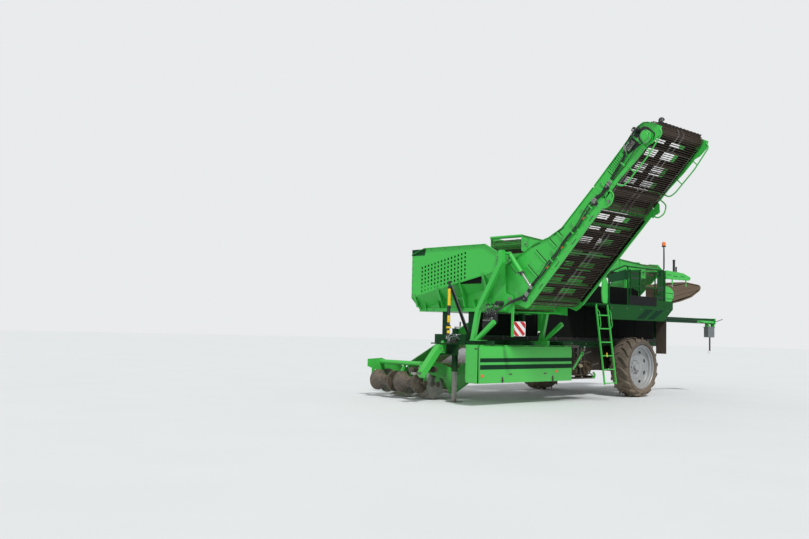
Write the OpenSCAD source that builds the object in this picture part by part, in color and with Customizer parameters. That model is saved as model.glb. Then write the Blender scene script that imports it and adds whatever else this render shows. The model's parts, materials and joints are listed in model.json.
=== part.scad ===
// Trailed two-row potato harvester with a holding bunker and a side unloading elevator.
// Origin: centre of the towing eye. +X is the way of travel, +Y is the machine's left, +Z is up.
// The modules are written with heights above the ground, and place() lowers them to the eye.

/* [Overall] */
// Height of the towing eye above the ground
hitch_h = 600; // [560:5:640]
// Left outside plane of the body
left_y = 1200; // [1180:5:1260]
// Sheet thickness of body panels
sheet = 8; // [5:1:12]
// Gap between things that turn past each other
run_gap = 10; // [6:1:15]
// Radial clearance of a pin in its bore
pin_fit = 0.05; // [0.02:0.01:0.1]
// Gap between a web or tyre and what carries it
seat_gap = 0.3; // [0.2:0.1:0.5]

/* [Chassis] */
// Front end of the long beams
frame_x1 = -950; // [-1000:10:-900]
// Rear end of the long beams
frame_x2 = -8300; // [-8400:10:-8200]
// Inner face of the left long beam
beam_l_y = 340; // [320:10:360]
// Outer face of the right long beam
beam_r_y = -400; // [-420:10:-380]
// Width of a long beam
beam_w = 120; // [100:5:140]
// Underside of the long beams
beam_z = 1180; // [1160:5:1200]
// Height of a long beam
beam_h = 200; // [160:10:220]

/* [Wheels] */
// Outside diameter of a tyre over the lugs
tyre_d = 1400; // [1360:5:1420]
// Width of a tyre
tyre_w = 500; // [480:5:520]
// Diameter of the tyre's seat on the rim
rim_seat_d = 1000; // [960:5:1010]
// Height of a lug
lug_h = 38; // [25:1:45]
// Number of lugs on each half of a tyre
lug_count = 17; // [12:1:22]
// Axle line behind the eye
wheel_x = -6300; // [-6400:10:-6200]
// Middle of the left wheel
wheel_l_y = 950; // [930:5:970]
// Middle of the right wheel
wheel_r_y = -1800; // [-1820:5:-1780]
// Distance from a wheel's middle to its kingpin
kingpin_in = 350; // [340:5:370]
// Radius of a kingpin
kingpin_r = 32; // [26:1:38]
// Radius of a stub axle
stub_r = 55; // [45:1:60]
// Section of the axle tube
axle_s = 140; // [120:5:160]
// Distance from a kingpin back to its tie rod pin
steer_arm = 250; // [220:5:280]

/* [Drawbar] */
// Vertical pivot of the drawbar
neck_x = -790; // [-820:5:-760]
// Radius of the drawbar's pivot pin
neck_pin_r = 35; // [30:1:40]
// Radius of the hole in the towing eye
eye_r = 25; // [20:1:30]
// Outer radius of the towing eye
eye_outer_r = 62; // [55:1:75]
// Thickness of the towing eye
eye_t = 45; // [35:1:60]
// Section width of the drawbar
neck_w = 140; // [120:5:160]

/* [Jack] */
// Middle of the jack across
jack_y = 30; // [-20:10:80]
// Outer section of the jack's sleeve
jack_s = 90; // [80:5:110]
// Side of the jack's foot plate
jack_foot = 260; // [220:10:300]

/* [Bunker] */
// Front wall of the bunker
bunker_x1 = -900; // [-920:5:-880]
// Rear wall of the bunker
bunker_x2 = -2900; // [-2940:5:-2890]
// Front face of the bunker's narrow lower part
trough_x1 = -1150; // [-1160:5:-1140]
// Rear face of the bunker's narrow lower part
trough_x2 = -2850; // [-2860:5:-2845]
// Right wall of the bunker
bunker_r_y = -1080; // [-1100:10:-1060]
// Left end of the bunker
bunker_l_y = 1340; // [1320:5:1345]
// Height of the bunker's highest edge
bunker_top = 3180; // [3150:5:3220]
// Underside of the bunker
bunker_z = 1850; // [1840:5:1860]
// Height where the front wall starts to slant, at the right wall
slant_z = 2150; // [2130:5:2170]
// Rise of the slant's start across the bunker, in degrees
slant_rise = 11.8; // [10:0.1:12]

/* [Elevator] */
// Front face of the elevator
elev_x1 = -1200; // [-1210:2:-1196]
// Rear face of the elevator
elev_x2 = -2800; // [-2804:2:-2790]
// Pivot of the elevator, to the left of the eye
pivot_y = 1450; // [1440:5:1460]
// Height of the elevator's pivot
pivot_z = 2100; // [2090:5:2120]
// Angle of the raised elevator
elev_angle = 47; // [44:0.5:49]
// Distance from the pivot to the folding hinge
fold_u = 2770; // [2740:10:2800]
// Distance of the folding hinge below the pivot's line
fold_v = -462; // [-470:1:-458]
// Distance from the pivot to the elevator's tip
elev_len = 4400; // [4350:10:4440]
// Lower edge of the elevator's side plates below the pivot's line
plate_low = -430; // [-440:2:-420]
// Lower edge of the head's side plates below the pivot's line
head_low = -360; // [-370:2:-350]
// Radius of the pins of the elevator
elev_pin_r = 25; // [20:1:30]

/* [Webs] */
// Radius of the webs' rollers
roller_r = 90; // [80:2:100]
// Thickness of a web's belts
belt_t = 14; // [10:1:18]
// Width of one belt
belt_w = 60; // [50:5:80]
// Side of a web's rods
rod_s = 14; // [10:1:18]
// Distance between rods
rod_pitch = 210; // [180:10:300]

/* [Lift cylinders] */
// Outer radius of a barrel
barrel_r = 42; // [36:1:46]
// Radius of a rod
rod_r = 22; // [18:1:26]
// Length of a barrel from its pin
barrel_len = 530; // [515:5:560]

/* [Digger] */
// Left side of the web channel
channel_l_y = -450; // [-460:5:-440]
// Right side of the web channel
channel_r_y = -2050; // [-2060:5:-2040]
// Centre of the first web's front roller, along the travel
web1_x = -1650; // [-1680:10:-1640]
// Height of the first web's front roller
web1_z = 300; // [290:5:320]
// Length of the first web between its rollers
web1_len = 3330; // [3300:10:3340]
// Slope of the first web
web1_slope = 26; // [25:0.5:26]
// Radius of the disc coulters
disc_r = 260; // [240:5:270]
// Largest radius of the ridge rollers
ridge_roller_r = 220; // [200:5:230]

/* [Platforms] */
// Height of the picking platforms
deck_z = 2140; // [2120:5:2160]
// Front end of the platforms
deck_x1 = -4900; // [-4920:10:-4880]
// Rear end of the platforms
deck_x2 = -7630; // [-7680:10:-7600]
// Height of the hand rails above the platforms
rail_h = 900; // [850:10:950]
// Radius of the hand rails
rail_r = 17; // [14:1:20]

/* [Side box] */
// Front end of the side box
box_x1 = -580; // [-620:10:-560]
// Rear end of the side box
box_x2 = -3520; // [-3560:10:-3500]
// Underside of the side box
box_z1 = 450; // [420:10:480]
// Top of the side box
box_z2 = 1190; // [1180:5:1195]
// Depth of the side box
box_depth = 366; // [340:2:380]

/* [Ladder] */
// Front side of the ladder
ladder_x1 = -4320; // [-4330:5:-4310]
// Width of the ladder
ladder_w = 460; // [450:5:470]
// Lean of the ladder, in degrees
ladder_lean = 8; // [5:0.5:10]
// Distance between the rungs
rung_pitch = 300; // [280:5:310]

/* [Rear arm] */
// Rear end of the rear arm
arm_x2 = -9780; // [-9800:10:-9740]
// Front face of the rear arm, on the post that carries it
arm_x1 = -7100; // [-7120:5:-7080]
// Height of the rear arm's middle
arm_z = 1875; // [1870:1:1880]
// Section of the rear arm
arm_s = 90; // [80:2:92]

/* [Drive unit] */
// Front end of the drive unit behind the side box
drive_x1 = -3560; // [-3580:5:-3550]
// Rear end of the drive unit
drive_x2 = -4520; // [-4560:5:-4500]

/* [Trash conveyor] */
// Middle height of the trash conveyor's rear end
trash_z = 2720; // [2700:5:2730]
// Thickness of the trash conveyor's belt
trash_belt = 26; // [20:1:30]

/* [Hidden] */
$fn = 48;

green = "#45b956";
dark_green = "#1c5a35";
black = "#26282a";
steel = "#b9bcbc";
web_brown = "#4b4038";

beam_top = beam_z + beam_h;
left_beam = [beam_l_y, beam_l_y + beam_w];
right_beam = [beam_r_y, beam_r_y + beam_w];
tyre_r = tyre_d / 2;
seat_r = rim_seat_d / 2;
web_r = roller_r + seat_gap;
web_out_r = web_r + belt_t + rod_s;
cross_x = [frame_x1 - beam_w, -3000, -5000, -7700];
web2_bearers = [-5000, -7700];
jack_x = frame_x1 - beam_w - jack_s / 2;
elev_mid = (elev_x1 + elev_x2) / 2;
outrigger_z = box_z2;
outrigger_h = 80;

// A box from its lowest corner to its highest
module block(lo, hi) {
    translate(lo) cube(hi - lo);
}

// Lowers what is written above the ground to the frame of the towing eye
module place() {
    translate([0, 0, -hitch_h]) children();
}

// A plate with an outline of [y, z] points, from x to x + t
module yz_plate(x, t, pts) {
    translate([x, 0, 0]) rotate([90, 0, 90]) linear_extrude(t) polygon(pts);
}

// A plate with an outline of [x, z] points, from y to y + t
module xz_plate(y, t, pts) {
    translate([0, y + t, 0]) rotate([90, 0, 0]) linear_extrude(t) polygon(pts);
}

module x_cyl(r, x1, x2, y, z) {
    translate([x1, y, z]) rotate([0, 90, 0]) cylinder(r = r, h = x2 - x1);
}

module y_cyl(r, y1, y2, x, z) {
    translate([x, y1, z]) rotate([-90, 0, 0]) cylinder(r = r, h = y2 - y1);
}

// A bar of square section between two [x, z] points
module xz_bar(p, q, w, y, t) {
    d = q - p;
    len = norm(d);
    translate([p[0], y, p[1]]) rotate([0, -atan2(d[1], d[0]), 0]) translate([-w / 2, 0, -w / 2]) cube([len + w, t, w]);
}

// Outline of a belt round two rollers, the second at length l
module stadium(l, r) {
    circle(r);
    translate([l, 0]) circle(r);
    translate([0, -r]) square([l, 2 * r]);
}

// A web along local y, its rods across local x from 0 to w: belts, rods and flights in one loop
module web(l, w, belts, flight_h, flight_pitch) {
    n = floor(l / rod_pitch);
    step = l / n;
    rotate([90, 0, 90]) {
        for (b = belts)
            translate([0, 0, b - belt_w / 2]) linear_extrude(belt_w) difference() {
                stadium(l, web_r + belt_t);
                stadium(l, web_r);
            }
        linear_extrude(w)
            for (i = [0:n], s = [-1, 1])
                translate([i * step - rod_s / 2, s * (web_r + belt_t + rod_s / 2 - 2) - rod_s / 2])
                    square([rod_s, rod_s]);
        if (flight_h > 0)
            for (u = [flight_pitch / 2:flight_pitch:l], s = [-1, 1])
                translate([0, 0, belts[0] - belt_w / 2])
                    linear_extrude(belts[len(belts) - 1] - belts[0] + belt_w)
                        translate([u - 4, s * (web_r + belt_t + flight_h / 2) - flight_h / 2]) square([8, flight_h]);
    }
}

module main_frame() {
    color(dark_green) place() {
        for (b = [left_beam, right_beam])
            block([frame_x2, b[0], beam_z], [frame_x1, b[1], beam_top]);
        for (x = cross_x)
            block([x, right_beam[1], beam_z], [x + beam_w, left_beam[0], beam_top]);
        for (x = [-1060, -2300, -3340])
            block([x, left_beam[1], outrigger_z], [x + 80, left_y - 50, outrigger_z + outrigger_h]);
        for (x = web2_bearers)
            block([x - 100, channel_r_y, beam_z], [x, right_beam[0], beam_z + 120]);
        difference() {
            for (z = [beam_z, beam_z - 220])
                block([neck_x - 70, -260, z], [frame_x1, 260, z + 24]);
            translate([neck_x, 0, 0]) cylinder(r = neck_pin_r + pin_fit, h = beam_top);
        }
        difference() {
            for (z = [beam_z, beam_z - 220])
                block([frame_x1, -260, z], [neck_x + 90, 260, z + 24]);
            translate([neck_x, 0, 0]) cylinder(r = neck_pin_r + pin_fit, h = beam_top);
        }
        block([frame_x1 - 30, -260, beam_z - 220], [frame_x1, 260, beam_z]);
        for (x = [trough_x1 - 100, trough_x2 + 20])
            for (b = [left_beam, right_beam])
                block([x, b[0], beam_top], [x + 80, b[1], bunker_z]);
        for (s = [1, -1])
            block([wheel_x - axle_s / 2, s == 1 ? left_beam[0] : right_beam[0], 700 + axle_s / 2],
                  [wheel_x + axle_s / 2, s == 1 ? left_beam[1] : right_beam[1], beam_z]);
    }
}

module drawbar() {
    color(green) place() {
        difference() {
            union() {
                translate([neck_x, 0, beam_z - 190]) cylinder(r = 75, h = 184);
                block([neck_x, -neck_w / 2, beam_z - 180], [neck_x + 180, neck_w / 2, beam_z - 20]);
                xz_bar([neck_x + 150, beam_z - 100], [-210, hitch_h], 130, -neck_w / 2, neck_w);
            }
            translate([neck_x, 0, 0]) cylinder(r = neck_pin_r + pin_fit, h = beam_top);
            block([-150, -neck_w, 0], [100, neck_w, beam_top]);
        }
        translate([neck_x, 0, beam_z - 230]) cylinder(r = neck_pin_r, h = 300);
        translate([neck_x, 0, beam_z + 24 + seat_gap]) cylinder(r = neck_pin_r + 15, h = 20);
    }
}

module towing_eye() {
    color(steel) place() {
        difference() {
            union() {
                translate([0, 0, hitch_h - eye_t / 2]) cylinder(r = eye_outer_r, h = eye_t);
                block([-150, -35, hitch_h - eye_t / 2], [-40, 35, hitch_h + eye_t / 2]);
            }
            translate([0, 0, hitch_h - eye_t]) cylinder(r = eye_r, h = 2 * eye_t);
        }
    }
}

module pto_shaft() {
    color(black) place() {
        x_cyl(38, neck_x + 120, -60, -neck_w / 2 - 48, 660);
        x_cyl(52, neck_x + 60, neck_x + 120, -neck_w / 2 - 48, 660);
        x_cyl(52, -60, 0, -neck_w / 2 - 48, 660);
        block([-330, -neck_w / 2 - 20, 640], [-300, -neck_w / 2, 690]);
    }
}

module jack_sleeve() {
    color(dark_green) place()
        difference() {
            block([jack_x - jack_s / 2, jack_y - jack_s / 2, 620], [jack_x + jack_s / 2, jack_y + jack_s / 2, 1500]);
            block([jack_x - jack_s / 2 + 9, jack_y - jack_s / 2 + 9, 600],
                  [jack_x + jack_s / 2 - 9, jack_y + jack_s / 2 - 9, 1480]);
        }
}

module jack_leg() {
    inner = jack_s / 2 - 9 - 0.5;
    color(steel) place() {
        block([jack_x - inner, jack_y - inner, 15], [jack_x + inner, jack_y + inner, 1100]);
        block([jack_x - jack_foot / 2, jack_y - jack_foot / 2, 0], [jack_x + jack_foot / 2, jack_y + jack_foot / 2, 15]);
    }
}

module hose_post() {
    x = -740;
    y = 200;
    color(black) place() {
        translate([x, y, beam_z + 24]) cylinder(r = 22, h = 2440 - beam_z - 24);
        xz_bar([-1330, beam_top + 20], [x - 20, 2380], 30, y - 15, 30);
        block([-1360, y - 15, beam_top], [-1300, 380, beam_top + 20]);
    }
    color("#e2c21c") place()
        for (z = [[1420, 1500], [1560, 1640], [1960, 2300]])
            translate([x, y, z[0]]) cylinder(r = 34, h = z[1] - z[0]);
}

// The bunker's front or rear side: an upright plate, a slant and an upright trough wall
module bunker_side(x_out, x_in, dir) {
    w = bunker_l_y - bunker_r_y;
    rise = w * tan(slant_rise);
    drop = 250;
    d = sheet * dir;
    x_lo = dir > 0 ? x_out - sheet : x_out;
    t_lo = dir > 0 ? x_in - sheet : x_in;
    difference() {
        yz_plate(x_lo, sheet, [[bunker_r_y, slant_z - 20], [bunker_l_y, slant_z + rise - 20],
                               [bunker_l_y, bunker_top - 170], [bunker_l_y - 330, bunker_top],
                               [bunker_r_y + 380, bunker_top], [bunker_r_y, bunker_top - 130]]);
        if (dir > 0)
            for (i = [0:13], j = [0:6])
                translate([x_lo - 1, bunker_r_y + 290 + i * 95, slant_z + 100 + j * 82 + i * 95 * tan(slant_rise)])
                    cube([sheet + 2, 44, 44]);
    }
    translate([0, bunker_r_y, 0])
        intersection() {
            translate([0, 0, slant_z]) rotate([slant_rise, 0, 0]) translate([0, w * 1.2, 0]) rotate([90, 0, 0])
                linear_extrude(w * 1.4)
                    polygon([[x_out, 0], [x_in, -drop], [x_in - d, -drop], [x_out - d, 0]]);
            block([min(x_out, x_in) - 20, 0, 0], [max(x_out, x_in) + 20, w, bunker_top]);
        }
    yz_plate(t_lo, sheet, [[bunker_r_y, bunker_z], [bunker_l_y, bunker_z],
                           [bunker_l_y, slant_z + rise - drop + 4], [bunker_r_y, slant_z - drop + 4]]);
}

module bunker() {
    ear_r = 85;
    color(green) place() {
        bunker_side(bunker_x1, trough_x1, 1);
        bunker_side(bunker_x2, trough_x2, -1);
        xz_plate(bunker_r_y, sheet, [[bunker_x1, bunker_top - 130], [bunker_x1, slant_z - 20],
                                     [trough_x1, slant_z - 250], [trough_x1, bunker_z], [trough_x2, bunker_z],
                                     [trough_x2, slant_z - 250], [bunker_x2, slant_z - 20],
                                     [bunker_x2, bunker_top - 130]]);
        block([trough_x2, bunker_r_y, bunker_z], [trough_x1, bunker_l_y, bunker_z + sheet]);
        for (x = [trough_x1 - sheet, trough_x2])
            difference() {
                union() {
                    yz_plate(x, sheet, [[bunker_l_y - 100, bunker_z], [pivot_y + 110, bunker_z - 30],
                                        [pivot_y + 110, pivot_z - 40], [pivot_y, pivot_z + ear_r - 5],
                                        [bunker_l_y - 100, pivot_z + 150]]);
                    x_cyl(ear_r, x, x + sheet, pivot_y, pivot_z);
                }
                x_cyl(elev_pin_r + pin_fit, x - 1, x + sheet + 1, pivot_y, pivot_z);
            }
        for (y = [-820, -420, 80, 580])
            translate([0, y, 0]) rotate([90, 0, 0]) linear_extrude(16)
                polygon([[trough_x1, bunker_z], [trough_x1, slant_z - 40], [trough_x1 + 110, slant_z - 100],
                         [trough_x1 + 40, bunker_z]]);
        block([trough_x1, bunker_r_y + 300, bunker_z], [trough_x1 + 60, bunker_l_y, bunker_z + 70]);
    }
}

module bunker_floor() {
    w = trough_x1 - trough_x2 - 2 * sheet;
    y1 = bunker_r_y + 190;
    l = bunker_l_y - 90 - y1;
    z = 2010;
    color(web_brown) place() {
        for (y = [y1, y1 + l]) {
            x_cyl(roller_r, trough_x2 + 60, trough_x1 - 60, y, z);
            x_cyl(30, trough_x2 + sheet, trough_x1 - sheet, y, z);
        }
        translate([trough_x2 + 75, y1, z]) web(l, w - 134, [60, (w - 134) / 2, w - 194], 0, 300);
    }
}

module bunker_legs() {
    foot_z = outrigger_z + outrigger_h;
    foot = [760, foot_z];
    knee = [890, 1870];
    lift = [1470, 2980];
    rear_leg_x = bunker_x2 - 150;
    for (side = [0, 1]) {
        x = side == 0 ? bunker_x1 : rear_leg_x;
        pin_x = side == 0 ? trough_x1 + 15 : rear_leg_x + 80;
        pin_end = side == 0 ? bunker_x1 : trough_x2 - 15;
        color(green) place() {
            yz_plate(x, 80, [[foot[0] - 45, foot_z], [foot[0] + 45, foot_z], [knee[0] + 42, knee[1] - 8],
                             [lift[0] + 50, 2790], [lift[0] + 50, lift[1] + 50], [lift[0] - 50, lift[1] + 50],
                             [lift[0] - 50, 2815], [knee[0] - 48, knee[1] + 15]]);
            x_cyl(elev_pin_r, pin_x, pin_end, lift[0], lift[1]);
            yz_plate(x, 80, [[790, foot_z], [880, foot_z], [1330, 1615], [1285, 1680]]);
            block([x, 700, outrigger_z + outrigger_h], [x + 80, 960, outrigger_z + outrigger_h + 16]);
        }
    }
    color(green) place() {
        block([-1060, 700, outrigger_z + outrigger_h], [bunker_x1 + 80, 960, outrigger_z + outrigger_h + 16]);
        block([rear_leg_x, left_beam[1], outrigger_z], [rear_leg_x + 80, 960, outrigger_z + outrigger_h]);
        block([rear_leg_x, bunker_l_y - 50, 2690], [rear_leg_x + 80, bunker_l_y + 60, 2740]);
        block([rear_leg_x + 80, bunker_l_y - 50, 2690], [bunker_x2, bunker_l_y - 5, 2740]);
    }
}

module valve_block() {
    x = bunker_x1 - 60;
    color(black) place() {
        block([x, 1020, 1640], [x + 60, 1300, 1800]);
        for (i = [0:4])
            translate([x + 30, 1050 + i * 52, 1800]) cylinder(r = 16, h = 170 + 20 * (i % 2));
    }
}

module warning_board() {
    x = trough_x1;
    color(green) place()
        block([x, pivot_y + 70, 1360], [x + 20, pivot_y + 110, bunker_z]);
    color("#e9e9e6") place()
        block([x + 20, pivot_y + 110 + 20, 1378], [x + 26, pivot_y + 110 + 20 + 282, 1660]);
    color(green) place()
        block([x, pivot_y + 110, 1500], [x + 20, pivot_y + 170, 1540]);
}

// Everything of the elevator is written along it: local y runs up the elevator, local z is square to it
module elev() {
    place() translate([0, pivot_y, pivot_z]) rotate([elev_angle, 0, 0]) children();
}

lobe = [540, -272];
lower_outline = [[10, -165], [120, -400], [220, plate_low], [fold_u - 20, plate_low], [fold_u - 20, -10],
                 [1780, 20], [1460, 130], [1150, 310], [890, 390], [390, 570], [70, 270], [-60, 90], [-75, -40]];
head_outline = [[fold_u + 8, head_low], [elev_len - 480, head_low], [elev_len - 330, head_low - 130],
                [elev_len - 110, head_low - 130], [elev_len, head_low - 20], [elev_len - 40, -130],
                [elev_len - 180, -50], [fold_u + 8, -12]];
lower_rollers = [230, fold_u - 190];
head_rollers = [fold_u + 170, elev_len - 170];
web_v = -245;

module elevator_frame() {
    color(green) elev() {
        for (x = [elev_x1 - sheet, elev_x2])
            yz_plate(x, sheet, lower_outline);
        for (s = [0, 1]) {
            out = s == 0 ? elev_x1 : elev_x2;
            lo = s == 0 ? out : out - 1;
            x_cyl(elev_pin_r, s == 0 ? out : trough_x2 - 20, s == 0 ? trough_x1 + 10 : out, 0, 0);
            x_cyl(60, s == 0 ? out : out - 12, s == 0 ? out + 12 : out, lobe[0], lobe[1]);
            for (u = [1300:330:2500])
                block([s == 0 ? out : out - 22, u, plate_low], [s == 0 ? out + 22 : out, u + 40, -60]);
            block([s == 0 ? out : out - 22, 300, plate_low], [s == 0 ? out + 22 : out, fold_u - 120, plate_low + 40]);
            block([s == 0 ? out : out - 5, fold_u - 160, fold_v - 10], [s == 0 ? out + 5 : out, fold_u - 40, -180]);
            difference() {
                union() {
                    block([s == 0 ? out + 5 : out - 17, fold_u - 160, fold_v - 10],
                          [s == 0 ? out + 17 : out - 5, fold_u - 40, -180]);
                    block([s == 0 ? out + 5 : out - 17, fold_u - 60, fold_v - 30],
                          [s == 0 ? out + 17 : out - 5, fold_u, fold_v + 30]);
                    x_cyl(42, s == 0 ? out + 5 : out - 17, s == 0 ? out + 17 : out - 5, fold_u, fold_v);
                }
                x_cyl(20 + pin_fit, s == 0 ? out - 1 : out - 20, s == 0 ? out + 20 : out + 1, fold_u, fold_v);
            }
        }
        for (u = [700, 1450, 2150])
            x_cyl(30, elev_x2 + sheet, elev_x1 - sheet, u, web_v);
        for (u = lower_rollers)
            x_cyl(roller_r, elev_x2 + sheet, elev_x1 - sheet, u, web_v);
    }
}

module elevator_web() {
    w = elev_x1 - elev_x2 - 2 * sheet - 30;
    color(web_brown) elev() translate([elev_x2 + sheet + 15, lower_rollers[0], web_v])
        web(lower_rollers[1] - lower_rollers[0], w, [50, w / 2 - 80, w / 2 + 80, w - 50], 60, 420);
}

module hoop(x, u, v, l, r, d) {
    for (k = [0, 1])
        translate([x, u + k * l, v]) rotate([0, 0, 0]) cylinder(r = r, h = d);
    translate([x, u - r, v + d]) rotate([-90, 0, 0]) cylinder(r = r, h = l + 2 * r);
}

module head_frame() {
    color(green) elev() {
        for (x = [elev_x1 - sheet, elev_x2])
            yz_plate(x, sheet, head_outline);
        for (s = [0, 1]) {
            out = s == 0 ? elev_x1 : elev_x2;
            x_cyl(32, s == 0 ? out - sheet : out, s == 0 ? out : out + sheet, fold_u, fold_v);
            block([s == 0 ? out - sheet : out, fold_u, fold_v], [s == 0 ? out : out + sheet, fold_u + 120, head_low + 20]);
            block([s == 0 ? out : out - 10, fold_u + 10, head_low + 20], [s == 0 ? out + 10 : out, fold_u + 70, -20]);
            block([s == 0 ? out + 6 : out - 10, fold_u - 30, head_low + 20], [s == 0 ? out + 10 : out - 6, fold_u + 10, -20]);
            x_cyl(20, s == 0 ? out : out - 30, s == 0 ? out + 30 : out, fold_u, fold_v);
            for (u = [fold_u + 120, fold_u + 620, fold_u + 1120])
                block([s == 0 ? out : out - 22, u, head_low + 10], [s == 0 ? out + 22 : out, u + 40, -70]);
            block([s == 0 ? out : out - 22, fold_u + 160, head_low], [s == 0 ? out + 22 : out, elev_len - 500, head_low + 40]);
            translate([s == 0 ? out - sheet / 2 : out + sheet / 2, 0, 0]) rotate([180, 0, 0])
                hoop(0, 520 - elev_len, -head_low, 700, 12, 170);
        }
        block([elev_x1, elev_len - 420, -360], [elev_x1 + 160, elev_len - 170, -130]);
        x_cyl(30, elev_x2 + sheet, elev_x1 - sheet, (head_rollers[0] + head_rollers[1]) / 2, web_v);
        for (u = head_rollers)
            x_cyl(roller_r, elev_x2 + sheet, elev_x1 - sheet, u, web_v);
    }
}

module head_web() {
    w = elev_x1 - elev_x2 - 2 * sheet - 30;
    color(web_brown) elev() translate([elev_x2 + sheet + 15, head_rollers[0], web_v])
        web(head_rollers[1] - head_rollers[0], w, [50, w / 2 - 80, w / 2 + 80, w - 50], 60, 420);
}

module head_lamp() {
    color("white") elev() {
        x_cyl(55, elev_x1 - 500, elev_x1 - 440, elev_len - 60, -20);
        block([elev_x1 - 480, elev_len - 200, -60], [elev_x1 - 460, elev_len - 60, -30]);
    }
    color(black) elev()
        block([elev_x2 + sheet, elev_len - 220, -84], [elev_x1 - sheet, elev_len - 180, -60]);
}

// Where the two lift cylinders lie, at rest, from their upper pins to the lobes of the elevator
lift_top = [1470, 2980];
lift_end = [pivot_y + lobe[0] * cos(elev_angle) - lobe[1] * sin(elev_angle),
            pivot_z + lobe[0] * sin(elev_angle) + lobe[1] * cos(elev_angle)];
lift_len = norm(lift_end - lift_top);
lift_dir = atan2(lift_end[1] - lift_top[1], lift_end[0] - lift_top[0]);
lift_x = [trough_x1 + 60, trough_x2 - 60];

module along_lift(x) {
    place() translate([x, lift_top[0], lift_top[1]]) rotate([lift_dir, 0, 0]) children();
}

module lift_barrels() {
    color(black)
        for (x = lift_x)
            along_lift(x) difference() {
                union() {
                    x_cyl(38, -25, 25, 0, 0);
                    translate([0, 0, 0]) rotate([-90, 0, 0]) cylinder(r = barrel_r, h = barrel_len);
                }
                x_cyl(elev_pin_r + pin_fit, -60, 60, 0, 0);
                translate([0, 48, 0]) rotate([-90, 0, 0]) cylinder(r = rod_r + pin_fit, h = barrel_len);
            }
}

module lift_rods() {
    color(steel)
        for (k = [0, 1])
            along_lift(lift_x[k]) {
                rotate([-90, 0, 0]) translate([0, 0, 112]) cylinder(r = rod_r, h = lift_len - 112);
                x_cyl(38, -20, 20, lift_len, 0);
                x_cyl(20, k == 0 ? -80 : 20, k == 0 ? -20 : 80, lift_len, 0);
            }
}

digger_pin = [-1760, 520];
ridge_axle = [-730, 360];
disc_axle = [-1095, 330];
shaft_r = 24;

module digger_frame() {
    color(green) place() {
        for (s = [0, 1]) {
            y = s == 0 ? channel_l_y + run_gap : channel_r_y - sheet - run_gap;
            difference() {
                union() {
                    xz_plate(y, sheet, [[digger_pin[0] - 60, digger_pin[1] + 60], [digger_pin[0] - 60, digger_pin[1] - 60],
                                        [-1560, 130], [-1460, 110], [-1300, 420], [-560, 640], [-560, 800],
                                        [-960, 820]]);
                    for (p = [ridge_axle, disc_axle]) {
                        block([p[0] - 45, y, p[1]], [p[0] + 45, y + sheet, 660]);
                        y_cyl(45, y, y + sheet, p[0], p[1]);
                    }
                }
                y_cyl(30 + pin_fit, y - 1, y + sheet + 1, digger_pin[0], digger_pin[1]);
                for (p = [ridge_axle, disc_axle])
                    y_cyl(shaft_r + pin_fit, y - 1, y + sheet + 1, p[0], p[1]);
            }
        }
        y_cyl(50, channel_r_y - run_gap, channel_l_y + run_gap, -960, 740);
        for (y = [(channel_l_y + channel_r_y) / 2]) {
            xz_bar([-960, 700], [-780, 420], 60, y - 60, 30);
            xz_bar([-990, 700], [-1080, 400], 60, y + 40, 30);
        }
    }
}

module shares() {
    color(steel) place() {
        y_cyl(28, channel_r_y - run_gap, channel_l_y + run_gap, -1500, 165);
        for (m = [-875, -1625], s = [-1, 1])
            translate([0, m + s * 155, 0]) rotate([90, 0, 0]) translate([0, 0, -140]) linear_extrude(280)
                polygon([[-1100, 30], [-1500, 176], [-1520, 190], [-1500, 164], [-1130, 24]]);
    }
}

disc_y = [-510, -1250, -1990];

module disc_coulters() {
    color(steel) place() {
        for (y = disc_y)
            y_cyl(disc_r, y - 4, y + 4, disc_axle[0], disc_axle[1]);
        y_cyl(shaft_r, channel_r_y - run_gap - sheet - 12, channel_l_y + run_gap + sheet + 12, disc_axle[0], disc_axle[1]);
    }
}

module ridge_rollers() {
    color(black) place() {
        for (m = [-875, -1625])
            translate([ridge_axle[0], m, ridge_axle[1]]) rotate([-90, 0, 0]) rotate_extrude()
                polygon([[0, -290], [ridge_roller_r, -290], [ridge_roller_r, -250], [110, -60], [110, 60],
                         [ridge_roller_r, 250], [ridge_roller_r, 290], [0, 290]]);
        y_cyl(shaft_r, channel_r_y - run_gap - sheet - 12, channel_l_y + run_gap + sheet + 12, ridge_axle[0],
              ridge_axle[1]);
    }
}

// Local frame of the first web: local x runs up the web to the rear, local z is square to it
module web1_frame() {
    place() translate([web1_x, 0, web1_z]) rotate([0, 0, 180]) rotate([0, -web1_slope, 0]) children();
}

module web_channel() {
    wl = channel_l_y;
    wr = channel_r_y;
    color(green) {
        web1_frame() {
            for (y = [-wl, -wr - sheet])
                xz_plate(y, sheet, [[-60, -150], [web1_len - 60, -150], [web1_len + 80, -40], [web1_len + 80, 120],
                                    [web1_len - 40, 300], [300, 300], [-60, 100]]);
            for (l = [0, web1_len])
                y_cyl(roller_r, -wl + sheet, -wr - sheet, l, 0);
            for (l = [900, 1800, 2600])
                y_cyl(30, -wl + sheet, -wr - sheet, l, 0);
        }
        place() {
            y_cyl(30, channel_l_y, channel_l_y + run_gap + sheet + 6, digger_pin[0], digger_pin[1]);
            y_cyl(30, channel_r_y - run_gap - sheet - 6, channel_r_y, digger_pin[0], digger_pin[1]);
            for (x = [-3000, -3900])
                block([x, channel_l_y, beam_z - 60], [x + 100, right_beam[0], beam_z + 80]);
        }
    }
}

module sieving_web() {
    w = channel_l_y - channel_r_y - 2 * sheet - 30;
    color(web_brown) web1_frame() translate([0, -channel_l_y + sheet + 15 + w, 0]) rotate([0, 0, -90])
        web(web1_len, w, [50, w / 3, 2 * w / 3, w - 50], 0, 400);
}

web2_a = [-4870, 1600];
web2_b = [-7850, 1780];
web2_len = norm(web2_b - web2_a);
web2_slope = atan2(web2_b[1] - web2_a[1], web2_a[0] - web2_b[0]);

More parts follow.
